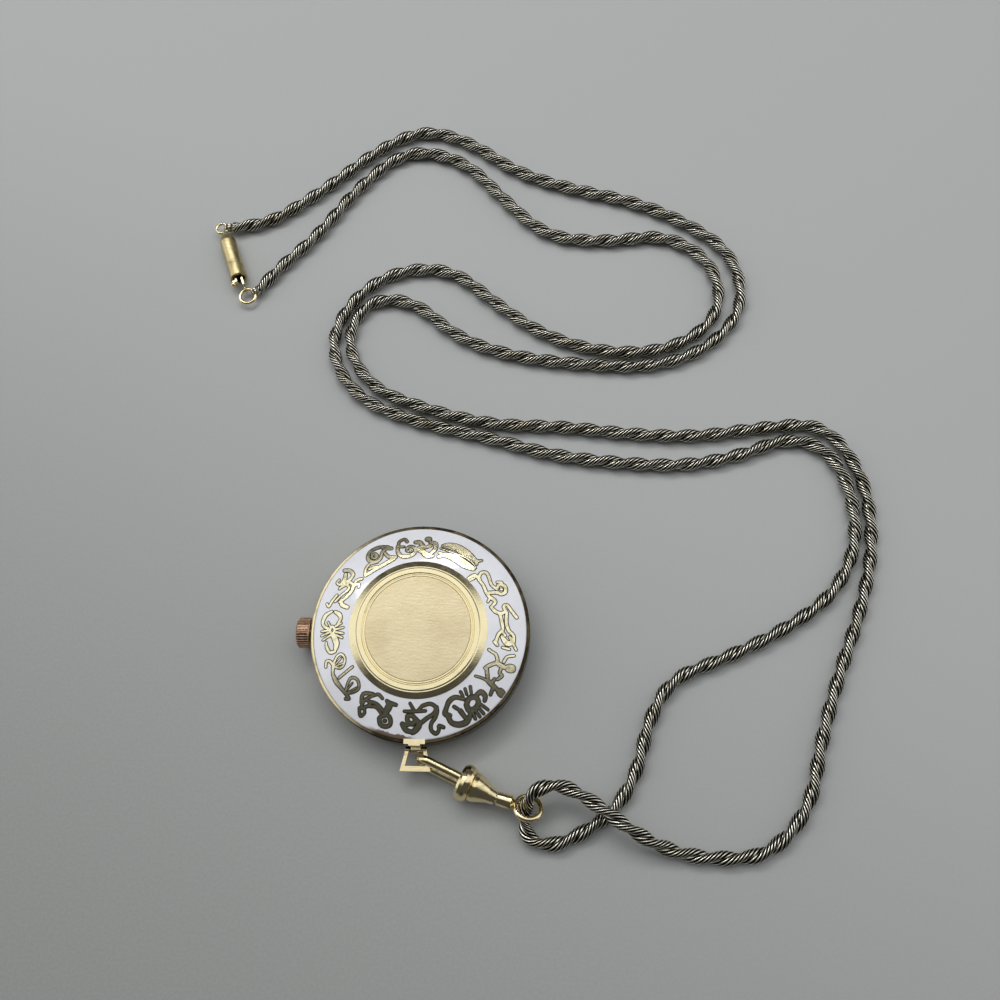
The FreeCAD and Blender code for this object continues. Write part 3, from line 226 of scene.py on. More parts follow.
def enamel():
    """Cool white enamel with a faint bloom, fine hairlines and a chipped edge by the tab."""
    glaze = Finish("enamel", (0.76, 0.76, 0.80), roughness=0.16, Coat_Weight=0.6, Coat_Roughness=0.05)
    cloud = glaze.noise(240.0, detail=3.0)
    white = glaze.blend(glaze.ramp(cloud, 0.35, 0.70), (0.86, 0.86, 0.90), (0.80, 0.80, 0.83))
    lined = glaze.blend(hairlines(glaze, cloud), white, (0.30, 0.29, 0.30))
    chip = chipped_edge(glaze)
    glaze.colour(glaze.blend(chip, lined, (0.15, 0.105, 0.075)))
    gloss = glaze.ramp(cloud, 0.3, 0.7, 0.10, 0.18)
    glaze.roughness(glaze.combine("ADD", gloss, glaze.combine("MULTIPLY", chip, 0.5)))
    glaze.bump(chip, 0.00008)
    return glaze.material


def gilt(name, colour, shade, roughness):
    """The figures' gold, worn thin in places."""
    gold = Finish(name, colour, metallic=1.0, roughness=roughness)
    patch_mask = gold.noise(1100.0, detail=4.0, roughness=0.65)
    gold.colour(gold.blend(gold.ramp(patch_mask, 0.42, 0.70), colour, shade))
    gold.roughness(gold.ramp(patch_mask, 0.3, 0.7, roughness, roughness + 0.15))
    gold.bump(patch_mask, 0.00002)
    return gold.material


def machined(name, colour, shade, roughness, metallic=1.0, stretch=(1.0, 12.0, 1.0)):
    """A drawn or cut metal or rubber surface with a directional grain."""
    metal = Finish(name, colour, metallic=metallic, roughness=roughness)
    grain = metal.noise(1500.0, detail=3.0, place=metal.stretched(stretch))
    metal.colour(metal.blend(metal.ramp(grain, 0.35, 0.70), colour, shade))
    metal.roughness(metal.ramp(grain, 0.3, 0.7, roughness * 0.8, roughness * 1.3))
    metal.bump(grain, 0.000006)
    return metal.material


def clear_glass():
    """The crystal: clear, with a very light polish haze."""
    glass = Finish("glass", (0.97, 0.98, 0.97), roughness=0.02, Transmission_Weight=1.0, IOR=1.5)
    haze = glass.noise(160.0, detail=4.0)
    glass.roughness(glass.ramp(haze, 0.45, 0.80, 0.01, 0.06))
    return glass.material


# Rays of the dial's grain, all round.
DIAL_RAYS = 260.0


def dial_face():
    """Silvered dial with a soft grain that runs out from the middle."""
    face = Finish("dial", (0.80, 0.78, 0.72), metallic=0.55, roughness=0.38)
    rays = face.add("ShaderNodeTexGradient", gradient_type="RADIAL")
    face.join(face.place, rays.inputs["Vector"])
    fan = face.add("ShaderNodeTexNoise", noise_dimensions="1D")
    fan.inputs["Scale"].default_value = 1.0
    face.join(face.combine("MULTIPLY", rays.outputs["Fac"], DIAL_RAYS), fan.inputs["W"])
    grain = fan.outputs["Fac"]
    face.colour(face.blend(face.ramp(grain, 0.3, 0.7), (0.84, 0.82, 0.76), (0.72, 0.70, 0.64)))
    face.roughness(face.ramp(grain, 0.3, 0.7, 0.30, 0.44))
    return face.material


# Across these x places, in metres, the case band turns from its painted shade to a painted highlight
# on its left side.
PAINTED_HIGHLIGHT_SPAN = (-0.0060, -0.0150)


def rim_painted_shade_and_highlight():
    """The case band: near-black painted shade all round, and a painted highlight on its left side,
    both in patches.
    """
    gold = Finish("rim_painted_shade_and_highlight", (0.30, 0.24, 0.13), metallic=1.0, roughness=0.26)
    patches = gold.noise(330.0, detail=5.0, roughness=0.65)
    place = gold.add("ShaderNodeSeparateXYZ")
    gold.join(gold.place, place.inputs["Vector"])
    # Painted highlight: the band's left side is painted bright, in patches.
    painted_highlight_side = gold.ramp(place.outputs["X"], *PAINTED_HIGHLIGHT_SPAN)
    patch_mask = gold.combine("MULTIPLY", painted_highlight_side, gold.ramp(patches, 0.25, 0.55, 0.5, 1.0))
    # Painted shade: elsewhere the band is painted near-black, a little lighter in patches.
    painted_shade_tone = gold.blend(gold.ramp(patches, 0.40, 0.66), (0.030, 0.023, 0.012), (0.120, 0.092, 0.048))
    gold.colour(gold.blend(patch_mask, painted_shade_tone, (0.80, 0.68, 0.42)))
    gold.roughness(gold.ramp(patches, 0.3, 0.7, 0.20, 0.38))
    gold.bump(patches, 0.00002)
    return gold.material


ROPE_DARK = (0.008, 0.0065, 0.004)
ROPE_WORN = (0.55, 0.46, 0.28)
ROPE_BRIGHT = (0.98, 0.94, 0.80)


def twisted_gold():
    """The rope's wires: bright crests over dark gaps, by the mesh's crest values."""
    rope = Finish("rope_gold", ROPE_BRIGHT, metallic=1.0, roughness=0.30)
    crest = rope.add("ShaderNodeAttribute", attribute_name="crest").outputs["Fac"]
    patches = rope.noise(260.0, detail=4.0)
    shade = rope.blend(rope.ramp(patches, 0.50, 0.85), ROPE_BRIGHT, ROPE_WORN)
    rope.colour(rope.blend(rope.ramp(crest, 0.50, 0.90), ROPE_DARK, shade))
    rope.roughness(rope.ramp(crest, 0.3, 0.9, 0.60, 0.14))
    return rope.material


case_gold = polished_gold("case_gold", (0.86, 0.73, 0.44), (0.42, 0.31, 0.13), 0.20, 0.02)
clasp_gold = polished_gold("clasp_gold", (0.84, 0.71, 0.42), (0.26, 0.17, 0.07), 0.15, 0.08)
sleeve_gold = polished_gold("sleeve_gold", (0.60, 0.50, 0.27), (0.30, 0.21, 0.09), 0.34, 0.10)
crown_gold = polished_gold("crown_gold", (0.46, 0.30, 0.20), (0.14, 0.08, 0.05), 0.28, 0.10)
ring_gold = polished_gold("ring_gold", (0.84, 0.73, 0.45), (0.60, 0.48, 0.25), 0.20, 0.04)
figure_gold = gilt("figure_gold", (0.88, 0.82, 0.56), (0.58, 0.50, 0.29), 0.12)
figure_edge = gilt("figure_edge", (0.040, 0.032, 0.017), (0.085, 0.068, 0.036), 0.40)
rope_gold = twisted_gold()
steel = machined("steel", (0.62, 0.62, 0.62), (0.44, 0.44, 0.45), 0.28)
blued_steel = machined("blued_steel", (0.03, 0.05, 0.16), (0.05, 0.09, 0.25), 0.22)
brass = machined("train_brass", (0.80, 0.62, 0.32), (0.62, 0.46, 0.22), 0.28)
plate = machined("movement_plate", (0.74, 0.70, 0.62), (0.60, 0.56, 0.48), 0.32)
marker_gold = machined("marker_gold", (0.86, 0.70, 0.38), (0.66, 0.50, 0.24), 0.20)
rubber = machined("rubber", (0.035, 0.035, 0.035), (0.06, 0.06, 0.055), 0.70, metallic=0.0)
jewel = machined("jewel", (0.55, 0.03, 0.07), (0.38, 0.02, 0.05), 0.10, metallic=0.0)

# The rope: its sizes, and how finely its line and its wires are meshed.
STRAND_RADIUS = 0.72 * MM
STRAND_OFFSET = 0.46 * MM
ROPE_LAY = 8.7 * MM
WIRE_LAY = 5.8 * MM
WIRES = 7
WIRE_DEPTH = 0.20 * MM
WIRE_ROUNDNESS = 0.6
CORE_GAP = 0.02 * MM
RING_STEP = 0.40 * MM
AROUND = 4 * WIRES
CURVE_STEPS = 24
ROUNDING = 1.000001

# The small wire eyes at the rope's two ends.
EYE_STEPS = 28
EYE_AROUND = 12
EYE_WIRE = 0.27 * MM
EYE_SPREAD = 0.8
EYE_HALF_HEIGHT = 0.62 * MM
EYE_TWIST = 8.0

# The rope's route over the table, in mm, in two lengths that meet.
TAIL_ROUTE = [
    (-39.85, 78.4, 1.5), (-34.4, 79.2, 1.25), (-29.3, 82.1, 1.25), (-21.5, 88.3, 1.25),
    (-13.7, 95.6, 1.25), (-4.6, 100.8, 1.25), (4.8, 97.5, 1.25), (13.8, 90.3, 1.25),
    (24.4, 86.3, 1.25), (30.2, 84.85, 1.25),
]
MAIN_ROUTE = [
    (30.2, 84.85, 1.25), (36.0, 83.4, 1.25), (46.0, 78.4, 1.25), (54.0, 71.5, 1.25),
    (55.3, 60.3, 1.25), (48.3, 52.1, 1.25), (38.5, 48.6, 1.25), (26.5, 49.2, 1.25),
    (14.5, 50.7, 1.25), (4.0, 54.4, 1.25), (-4.6, 62.5, 1.25), (-13.2, 62.7, 1.25),
    (-16.9, 54.2, 1.25), (-11.7, 44.8, 1.25), (-1.0, 40.4, 1.25), (10.5, 37.5, 1.25),
    (22.5, 37.3, 1.25), (34.0, 35.8, 1.25), (46.0, 35.3, 1.25), (57.0, 37.1, 1.25),
    (67.4, 37.9, 1.25), (73.2, 28.7, 1.25), (73.8, 17.0, 1.25), (71.0, 6.1, 1.25),
    (66.3, -4.9, 1.25), (62.6, -15.4, 1.25), (60.2, -25.6, 1.25), (53.6, -32.5, 1.25),
    (46.0, -33.2, 1.25), (39.6, -32.4, 1.25), (33.6, -29.9, 4.15), (26.7, -25.0, 4.15),
    (21.8, -22.7, 4.3), (17.9, -24.1, 5.1), (16.7, -27.9, 1.35), (17.4, -30.9, 1.25),
    (21.0, -31.9, 1.25), (25.6, -30.0, 1.25), (31.0, -26.2, 1.25), (34.4, -20.2, 1.25),
    (36.0, -13.2, 1.25), (39.9, -6.2, 1.25), (48.4, -3.0, 1.25),
    (57.8, 1.5, 1.25), (66.6, 7.6, 1.25), (71.2, 16.4, 1.25), (70.7, 27.0, 1.25),
    (67.2, 33.5, 1.25), (60.8, 35.2, 1.25), (53.2, 31.9, 1.25), (43.5, 29.9, 1.25),
    (32.5, 30.4, 1.25), (21.0, 31.8, 1.25), (9.4, 35.3, 1.25), (-2.7, 38.0, 1.25),
    (-14.1, 42.7, 1.25), (-19.8, 52.8, 1.25), (-16.4, 62.6, 1.25), (-8.0, 69.0, 1.25),
    (2.4, 69.0, 1.25), (10.6, 61.6, 1.25), (19.6, 54.8, 1.25), (31.0, 51.3, 1.25),
    (42.6, 52.2, 1.25), (51.0, 59.0, 1.25), (50.5, 69.6, 1.25), (41.8, 76.2, 1.25),
    (30.8, 74.5, 1.25), (19.6, 75.8, 1.25), (11.6, 84.1, 1.25), (3.6, 93.4, 1.25),
    (-7.6, 96.1, 1.25), (-16.6, 87.4, 1.25), (-23.7, 76.4, 1.25), (-30.4, 69.6, 1.25),
    (-33.9, 64.7, 1.25),
]


def spline_line(name, route):
    """The points of the smooth line that a route's NURBS spline gives."""
    curve = bpy.data.curves.new(name, "CURVE")
    curve.dimensions = "3D"
    curve.resolution_u = CURVE_STEPS
    spline = curve.splines.new("NURBS")
    spline.points.add(len(route) - 1)
    for point, (x, y, z) in zip(spline.points, route):
        point.co = (x * MM, y * MM, z * MM, 1.0)
    spline.order_u = 3
    spline.use_endpoint_u = True
    bare = bpy.data.objects.new(name, curve)
    mesh = bpy.data.meshes.new_from_object(bare)
    line = [vertex.co.copy() for vertex in mesh.vertices]
    bpy.data.objects.remove(bare)
    bpy.data.curves.remove(curve)
    bpy.data.meshes.remove(mesh)
    return line


def line_length(line):
    """The summed length of the steps between a line's points, in metres."""
    return sum((end - start).length for start, end in zip(line, line[1:]))


def evenly(line, step):
    """(point, direction, distance) at equal steps along a line, both ends among them."""
    length = line_length(line)
    count = round(length / step)
    stations, travelled = [], 0.0
    for start, end in zip(line, line[1:]):
        run = (end - start).length
        wanted = len(stations) * length / count
        while wanted <= travelled + run * ROUNDING and len(stations) <= count:
            share = min((wanted - travelled) / run, 1.0)
            stations.append((start.lerp(end, share), (end - start).normalized(), wanted))
            wanted = len(stations) * length / count
        travelled += run
    return stations


def strand_ring(centre, direction, along, strand):
    """(point, crest) pairs all round one strand, at a distance along the rope."""
    side = direction.cross(Vector((0.0, 0.0, 1.0))).normalized()
    top = side.cross(direction)
    turn = strand * math.pi + 2.0 * math.pi * along / ROPE_LAY
    outward = side * math.cos(turn) + top * math.sin(turn)
    across = direction.cross(outward)
    ring = []
    for k in range(AROUND):
        wire = 2.0 * math.pi * k / AROUND
        angle = turn + wire - 2.0 * math.pi * along / WIRE_LAY
        crest = 0.5 + 0.5 * math.cos(WIRES * wire)
        radius = STRAND_RADIUS - WIRE_DEPTH * (1.0 - crest ** WIRE_ROUNDNESS)
        out = max(STRAND_OFFSET + radius * math.cos(angle), CORE_GAP)
        ring.append((centre + outward * out + across * radius * math.sin(angle), crest))
    return ring


def tube_faces(first, rings, around):
    """Faces of a tube with closed ends, whose rings of points start at index first."""
    faces = []
    for ring in range(rings - 1):
        a = first + ring * around
        for k in range(around):
            b = (k + 1) % around
            faces.append((a + k, a + b, a + around + b, a + around + k))
    last = first + (rings - 1) * around
    faces.append(tuple(first + k for k in reversed(range(around))))
    faces.append(tuple(last + k for k in range(around)))
    return faces


def twisted_rope(name, route, travelled):
    """Two left-handed strands along a route; travelled is the rope's length before it."""
    line = spline_line(name, route)
    stations = evenly(line, RING_STEP)
    points, faces, crests = [], [], []
    for strand in (0, 1):
        faces += tube_faces(len(points), len(stations), AROUND)
        for centre, direction, distance in stations:
            for point, crest in strand_ring(centre, direction, travelled + distance, strand):
                points.append(point)
                crests.append(crest)
    piece = add_mesh(name, points, faces)
    set_crests(piece, crests)
    piece.data.materials.append(rope_gold)
    return piece, line, line_length(line)


def wire_eye(name, start, end, body):
    """The rope's last wires, bent round its ring: an upright eye of two wires side by side."""
    start, end = Vector(start) * MM, Vector(end) * MM
    reach = (end - start).length / 2.0
    along = (end - start).normalized()
    up = Vector((0.0, 0.0, 1.0))
    across = along.cross(up)
    points, faces, crests = [], [], []
    for side in (-1, 1):
        first = len(points)
        centre = (start + end) / 2.0 + across * side * EYE_WIRE * EYE_SPREAD
        for i in range(EYE_STEPS):
            a = 2.0 * math.pi * i / EYE_STEPS
            outward = along * math.cos(a) + up * math.sin(a)
            middle = centre + along * math.cos(a) * reach + up * math.sin(a) * EYE_HALF_HEIGHT
            row, after = first + i * EYE_AROUND, first + (i + 1) % EYE_STEPS * EYE_AROUND
            for k in range(EYE_AROUND):
                b = 2.0 * math.pi * k / EYE_AROUND
                points.append(middle + (outward * math.cos(b) + across * math.sin(b)) * EYE_WIRE)
                crests.append(0.75 + 0.25 * math.cos(b - EYE_TWIST * a))
                beside = (k + 1) % EYE_AROUND
                faces.append((row + k, after + k, after + beside, row + beside))
    eye = add_mesh(name, points, faces)
    set_crests(eye, crests)
    finish_piece(eye, body, rope_gold)


tail, tail_line, tail_length = twisted_rope("rope_tail", TAIL_ROUTE, 0.0)
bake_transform(tail)
main_rope, main_line, main_length = twisted_rope("rope_main", MAIN_ROUTE, tail_length)
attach(main_rope, "chain")
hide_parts("rope_chain_clasp_end")
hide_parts("rope_chain_outer", "rope_chain_eye_loop", "rope_chain_inner")

wire_eye("rope_eye_near_sleeve", (-39.6, 78.45, 1.5), (-41.45, 78.25, 1.5), "clasp_sleeve")
wire_eye("rope_eye_near_tongue", (-33.75, 64.85, 1.3), (-34.75, 64.15, 1.3), "chain")


# What each CAD piece is made of.
FINISHES = (
    (case_gold, ("bezel", "case_tube", "pendant_lug")),
    (rim_painted_shade_and_highlight(), ("case_middle", "case_back")),
    (ring_gold, ("back_ring",)),
    (satin_gold(), ("back_disc",)),
    (enamel(), ("enamel_ring",)),
    (clasp_gold, (
        "bail", "bail_pin", "swivel_eye", "clasp_tongue", "clasp_tab", "ring_a", "ring_b",
        "hook", "swivel_barrel", "gate",
    )),
    (sleeve_gold, ("clasp_barrel",)),
    (crown_gold, ("crown",)),
    (clear_glass(), ("crystal",)),
    (dial_face(), ("dial",)),
    (marker_gold, ("hour_markers",)),
    (blued_steel, ("hour_hand", "minute_hand", "movement_screws", "hairspring")),
    (rubber, ("back_gasket", "crown_gasket")),
    (plate, ("mainplate", "barrel_bridge", "train_bridge", "balance_cock", "pallet_bridge",
             "movement_ring")),
    (brass, ("mainspring_barrel", "centre_wheel", "third_wheel", "fourth_wheel", "balance_wheel",
             "cannon_pinion", "hour_wheel", "minute_wheel")),
    (steel, ("click", "mainspring", "winding_stem", "sliding_pinion", "winding_pinion",
             "crown_wheel", "ratchet_wheel", "setting_lever", "escape_wheel", "pallet_fork",
             "gate_pin", "gate_spring")),
    (jewel, ("jewels",)),
)
for material, nodes in FINISHES:
    for node in nodes:
        for material_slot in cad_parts[node].material_slots:
            material_slot.material = material


# For the twelve figures, in mm: the enamel's edges, and how far the figures and their outlines
# stand out of it. Each stroke lies a little higher than the one before, so that crossings stay
# clean.
ENAMEL_INNER = 11.02
ENAMEL_OUTER = 16.85
FIGURE_LIFT = 0.05
FIGURE_STEP = 0.0015
EDGE_LIFT = 0.02
EDGE_STEP = 0.0007
EDGE_WIDTH = 0.14

# Where the rays onto the enamel start, in metres, and how finely a stroke is drawn.
RAY_START = 0.02
SAMPLES = 4
CAP_POINTS = 6

# The drawing sheet: where its corner lies on the watch, in mm, and mm to one of its units.
SHEET_ORIGIN = (-18.07, 16.74)
SHEET_SCALE = (0.1162, 0.1171)
SHEET_LEAN = 0.0055

# Each figure is drawn on one sheet that covers the whole ring: a list of strokes, each a
# line of (across, down, width) points. Across and down are in sheet units, width in mm.
FIGURES = {
    "capricorn": [
        [(105, 27, .5), (92, 27, .5), (80, 33, .45), (77, 42, .5), (81, 48, .45), (90, 49, .4),
         (96, 43, .4), (97, 35, .4), (103, 29, .5)],
        [(82, 41, .3), (86, 36, .3), (91, 40, .3), (87, 44, .3), (83, 42, .3)],
        [(87, 40, .35), (88, 40, .35)],
        [(99, 28, .6), (110, 29, .5)],
        [(101, 36, .4), (107, 42, .45), (117, 43, .4)],
        [(114, 45, .6), (100, 54, .5), (88, 61, .45), (75, 69, .45)],
        [(75, 69, .35), (75, 60, .35), (81, 52, .35), (91, 50, .3)],
        [(80, 60, .3), (88, 57, .4), (94, 58, .3)],
    ],
    "sagittarius": [
        [(44, 60, .5), (52, 61, .5), (57, 67, .5), (54, 73, .45), (49, 77, .5)],
        [(46, 66, .5), (45, 74, .6), (41, 80, .6)],
        [(37, 74, .3), (34, 78, .3), (38, 81, .35), (45, 79, .5)],
        [(38, 87, .3), (44, 83, .35), (51, 80, .4)],
        [(51, 77, .4), (57, 81, .4), (58, 87, .45), (54, 94, .45), (46, 102, .4), (39, 106, .3)],
        [(46, 81, .3), (52, 85, .35), (50, 90, .35), (41, 97, .3), (33, 105, .3)],
        [(59, 83, .4), (63, 76, .35), (70, 74, .35)],
        [(59, 84, .35), (66, 81, .35), (66, 86, .3)],
        [(35, 96, .3), (28, 105, .35), (24, 112, .3), (21, 108, .3)],
        [(42, 103, .4), (43, 110, .6), (51, 114, .5)],
    ],
    "scorpio": [
        [(29, 119, .3), (20, 124, .55), (16, 133, .45), (18, 139, .4), (25, 143, .4)],
        [(34, 120, .4), (40, 124, .6), (42, 130, .4), (38, 137, .35)],
        [(26, 145, .3), (15, 146, .25)], [(26, 148, .3), (15, 152, .25)],
        [(28, 152, .3), (17, 158, .25)], [(35, 140, .3), (43, 136, .25)],
        [(36, 144, .3), (46, 142, .25)], [(36, 148, .3), (46, 150, .25)],
        [(34, 151, .3), (45, 156, .25)], [(28, 141, .3), (24, 134, .25)],
        [(27, 145, .35), (30, 140, .35), (34, 145, .35), (30, 150, .35), (27, 145, .35)],
        [(31, 151, .6), (35, 158, .85), (37, 165, .75), (35, 173, .4)],
        [(35, 174, .35), (28, 175, .45), (23, 168, .4), (22, 161, .2)],
    ],
    "libra": [
        [(22, 194, .3), (23, 187, .35), (28, 187, .35), (33, 192, .4)],
        [(33, 192, .5), (32, 202, .35), (34, 208, .5), (38, 215, .6), (43, 221, .45),
         (50, 229, .4), (54, 234, .35)],
        [(50, 236, .35), (55, 236, .35)],
        [(33, 191, .3), (38, 181, .3), (44, 178, .3), (49, 183, .3), (48, 191, .3), (43, 196, .3),
         (34, 194, .3)],
        [(35, 192, .14), (44, 183, .14)], [(37, 193, .14), (47, 190, .14)],
        [(41, 209, .28), (60, 195, .28)],
        [(50, 227, .3), (54, 215, .3), (59, 209, .3), (67, 212, .3), (69, 222, .3), (63, 227, .3),
         (53, 229, .3)],
        [(51, 226, .14), (60, 216, .14)], [(53, 228, .14), (66, 222, .14)],
    ],
    "virgo": [
        [(69, 248, .35), (70, 258, .35), (76, 254, .35), (75, 247, .3)],
        [(72, 248, .4), (74, 241, .45), (79, 237, .4), (84, 243, .4), (77, 247, .4)],
        [(72, 241, .4), (75, 230, .45), (88, 230, .35)],
        [(79, 236, .3), (90, 232, .3), (96, 231, .35), (101, 236, .3)],
        [(84, 240, .35), (93, 243, .4), (101, 251, .4)],
        [(83, 246, .3), (92, 247, .35), (99, 255, .3)],
        [(107, 239, .4), (110, 244, .9), (106, 252, .8), (103, 254, .4)],
        [(112, 242, .5), (119, 244, .4)],
        [(96, 261, .5), (97, 268, .5), (103, 271, .5), (110, 269, .5), (111, 262, .5),
         (107, 257, .5), (100, 258, .5), (96, 261, .5)],
        [(103, 264, .45), (104, 264, .45)],
    ],
    "leo": [
        [(130, 252, .3), (142, 252, .35), (158, 251, .3)],
        [(138, 242, .3), (143, 251, .35)],
        [(134, 258, .5), (140, 257, .5), (144, 262, .5), (140, 268, .5), (134, 264, .5),
         (134, 258, .5)],
        [(144, 261, .6), (149, 268, .7), (145, 274, .8), (140, 278, .6)],
        [(127, 268, .6), (131, 275, .6), (137, 277, .5)],
        [(128, 270, .5), (137, 267, .6)],
        [(149, 268, .5), (160, 260, .45), (169, 254, .4), (173, 246, .4)],
        [(154, 245, .4), (165, 242, .4), (173, 248, .45), (171, 258, .45), (165, 267, .4),
         (165, 275, .4), (171, 279, .4), (175, 274, .35), (175, 269, .35), (181, 271, .4)],
        [(149, 250, .3), (154, 245, .35)],
    ],
    "cancer": [
        [(212, 242, .6), (216, 234, .6), (224, 232, .6), (228, 238, .6), (224, 246, .7),
         (216, 249, .8), (212, 242, .6)],
        [(209, 235, .4), (198, 233, .5), (190, 238, .6), (186, 246, .5), (184, 254, .7),
         (190, 256, .5)],
        [(188, 258, .6), (192, 265, .6), (202, 267, .7), (212, 263, .7), (217, 254, .5)],
        [(196, 245, .4), (201, 248, .35)], [(204, 250, .6), (210, 258, .5)],
        [(208, 231, .25), (205, 226, .3)], [(213, 229, .25), (211, 222, .3)],
        [(219, 228, .25), (218, 219, .3)],
        [(226, 229, .5), (232, 225, .6), (237, 230, .6), (236, 236, .4)],
        [(230, 240, .3), (240, 247, .3)], [(228, 245, .3), (234, 252, .35)],
        [(224, 249, .3), (229, 256, .35)], [(220, 251, .3), (223, 259, .35)],
    ],
    "gemini": [
        [(254, 186, .5), (259, 190, .65), (268, 193, .45)],
        [(270, 193, 1.2), (273, 193, 1.2)],
        [(255, 184, .4), (253, 176, .35), (247, 172, .3), (244, 170, .35)],
        [(263, 185, .35), (268, 178, .3), (277, 176, .3)],
        [(252, 187, .45), (243, 191, .45), (238, 194, .35)],
        [(240, 194, .45), (241, 206, .45)],
        [(259, 194, .35), (257, 200, .35), (260, 203, .4), (254, 208, .35)],
        [(241, 210, .55), (247, 216, .65), (254, 222, .5)],
        [(257, 224, 1.1), (259, 226, 1.1)],
        [(240, 210, .3), (233, 207, .25), (225, 205, .2)],
        [(247, 221, .4), (244, 228, .35)],
        [(250, 208, .4), (246, 213, .4)],
    ],
    "taurus": [
        [(248, 112, .4), (254, 118, .5), (262, 120, .5), (268, 116, .4)],
        [(268, 117, .4), (265, 110, .4), (270, 108, .4), (275, 115, .4), (282, 124, .45)],
        [(260, 121, .4), (262, 132, .45), (263, 142, .4), (257, 149, .4), (253, 160, .4)],
        [(269, 118, .4), (268, 132, .45), (271, 143, .45), (277, 149, .4), (277, 158, .4)],
        [(252, 159, .5), (255, 163, .4)],
        [(262, 152, .5), (268, 160, .8), (276, 158, .6), (272, 152, .4)],
        [(276, 160, .35), (280, 168, .3)], [(262, 166, .3), (271, 168, .3)],
        [(262, 144, .35), (266, 150, .35)],
    ],
    "aries": [
        [(218, 73, .4), (226, 68, .5), (233, 73, .45)],
        [(219, 76, .25), (226, 72, .3)],
        [(232, 71, .4), (235, 64, .4), (242, 63, .45), (246, 70, .4), (249, 80, .4), (255, 85, .4)],
        [(232, 74, .4), (238, 82, .4), (242, 92, .45), (247, 99, .5)],
        [(246, 92, .45), (256, 91, .5)],
        [(256, 86, .4), (260, 79, .45), (267, 81, .5), (268, 89, .5), (262, 93, .45), (257, 90, .4)],
        [(257, 76, .3), (263, 76, .35)],
        [(262, 86, .35), (263, 86, .35)],
        [(248, 99, .5), (254, 104, .45), (250, 110, .35)],
        [(246, 101, .3), (244, 105, .25)],
    ],
    "pisces": [
        [(183, 25, .5), (190, 25, 1.0), (203, 28, 1.25), (217, 37, 1.15), (228, 46, .6),
         (236, 45, .3)],
        [(228, 46, .5), (229, 51, .4)],
        [(177, 42, .45), (185, 39, .7), (199, 43, 1.15), (213, 52, 1.25), (224, 58, .7)],
        [(178, 36, .35), (182, 38, .4)],
        [(179, 29, .14), (192, 34, .14), (212, 41, .14), (224, 50, .14), (228, 57, .14)],
    ],
    "aquarius": [
        [(120, 25, .35), (121, 19, .35), (128, 15, .4), (132, 19, .4)],
        [(119, 26, .4), (120, 36, .5), (127, 42, .5), (137, 41, .5), (144, 35, .45),
         (142, 28, .45), (135, 27, .4), (132, 33, .35), (138, 34, .3)],
        [(122, 27, .3), (128, 27, .3)],
        [(144, 20, .5), (150, 20, .6), (155, 26, .5)],
        [(145, 30, .5), (152, 34, .5), (159, 38, .5)],
        [(149, 28, .4), (158, 28, .4), (165, 25, .5)],
        [(161, 15, .8), (163, 15, .8)],
        [(165, 20, .5), (172, 22, .6), (172, 30, .6), (167, 36, .5)],
        [(154, 34, .7), (161, 40, .9), (168, 41, .5)],
    ],
}


enamel_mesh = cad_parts["enamel_ring"].data
ENAMEL_SURFACE = BVHTree.FromPolygons(
    [vertex.co for vertex in enamel_mesh.vertices],
    [tuple(polygon.vertices) for polygon in enamel_mesh.polygons],
)


def on_enamel(x, y, lift):
    """The point of the enamel's surface over (x, y), in mm, raised by lift."""
    radius = math.hypot(x, y)
    inside = min(max(radius, ENAMEL_INNER), ENAMEL_OUTER) / radius
    above = Vector((x * inside * MM, y * inside * MM, RAY_START))
    hit, *_ = ENAMEL_SURFACE.ray_cast(above, Vector((0.0, 0.0, -1.0)))
    return (hit.x, hit.y, hit.z + lift * MM)


def from_sheet(across, down):
    """A sheet position as (x, y) on the watch, in mm."""
    return (
        SHEET_ORIGIN[0] + SHEET_SCALE[0] * across + SHEET_LEAN * down,
        SHEET_ORIGIN[1] - SHEET_SCALE[1] * down,
    )


def smooth_stroke(stroke):
    """Points (x, y, width) in mm along the smooth line through a stroke's points."""
    knots = [(*from_sheet(across, down), width) for across, down, width in stroke]
    padded = [knots[0]] + knots + [knots[-1]]
    line = []
    for p0, p1, p2, p3 in zip(padded, padded[1:], padded[2:], padded[3:]):
        for i in range(SAMPLES):
            t = i / SAMPLES
            line.append(tuple(
                0.5 * (2.0 * b + (c - a) * t + (2.0 * a - 5.0 * b + 4.0 * c - d) * t * t
                       + (3.0 * b - a - 3.0 * c + d) * t ** 3)
                for a, b, c, d in zip(p0, p1, p2, p3)))
    return line + [knots[-1]]


def stroke_rows(stroke, grow):
    """(x, y, direction x, direction y, half width) along a stroke, widened by grow."""
    line = smooth_stroke(stroke)
    rows = []
    for i, (x, y, width) in enumerate(line):
        ax, ay, _ = line[max(i - 1, 0)]
        bx, by, _ = line[min(i + 1, len(line) - 1)]
        run = math.hypot(bx - ax, by - ay) or 1.0
        rows.append((x, y, (bx - ax) / run, (by - ay) / run, width / 2.0 + grow))
    return rows


def half_circle(x, y, dx, dy, half):
    """Points round the end of a stroke that runs along (dx, dy), from its left to its right."""
    points = []
    for k in range(1, CAP_POINTS):
        a = math.pi * k / CAP_POINTS
        aside, ahead = half * math.cos(a), half * math.sin(a)
        points.append((x - dy * aside + dx * ahead, y + dx * aside + dy * ahead))
    return points


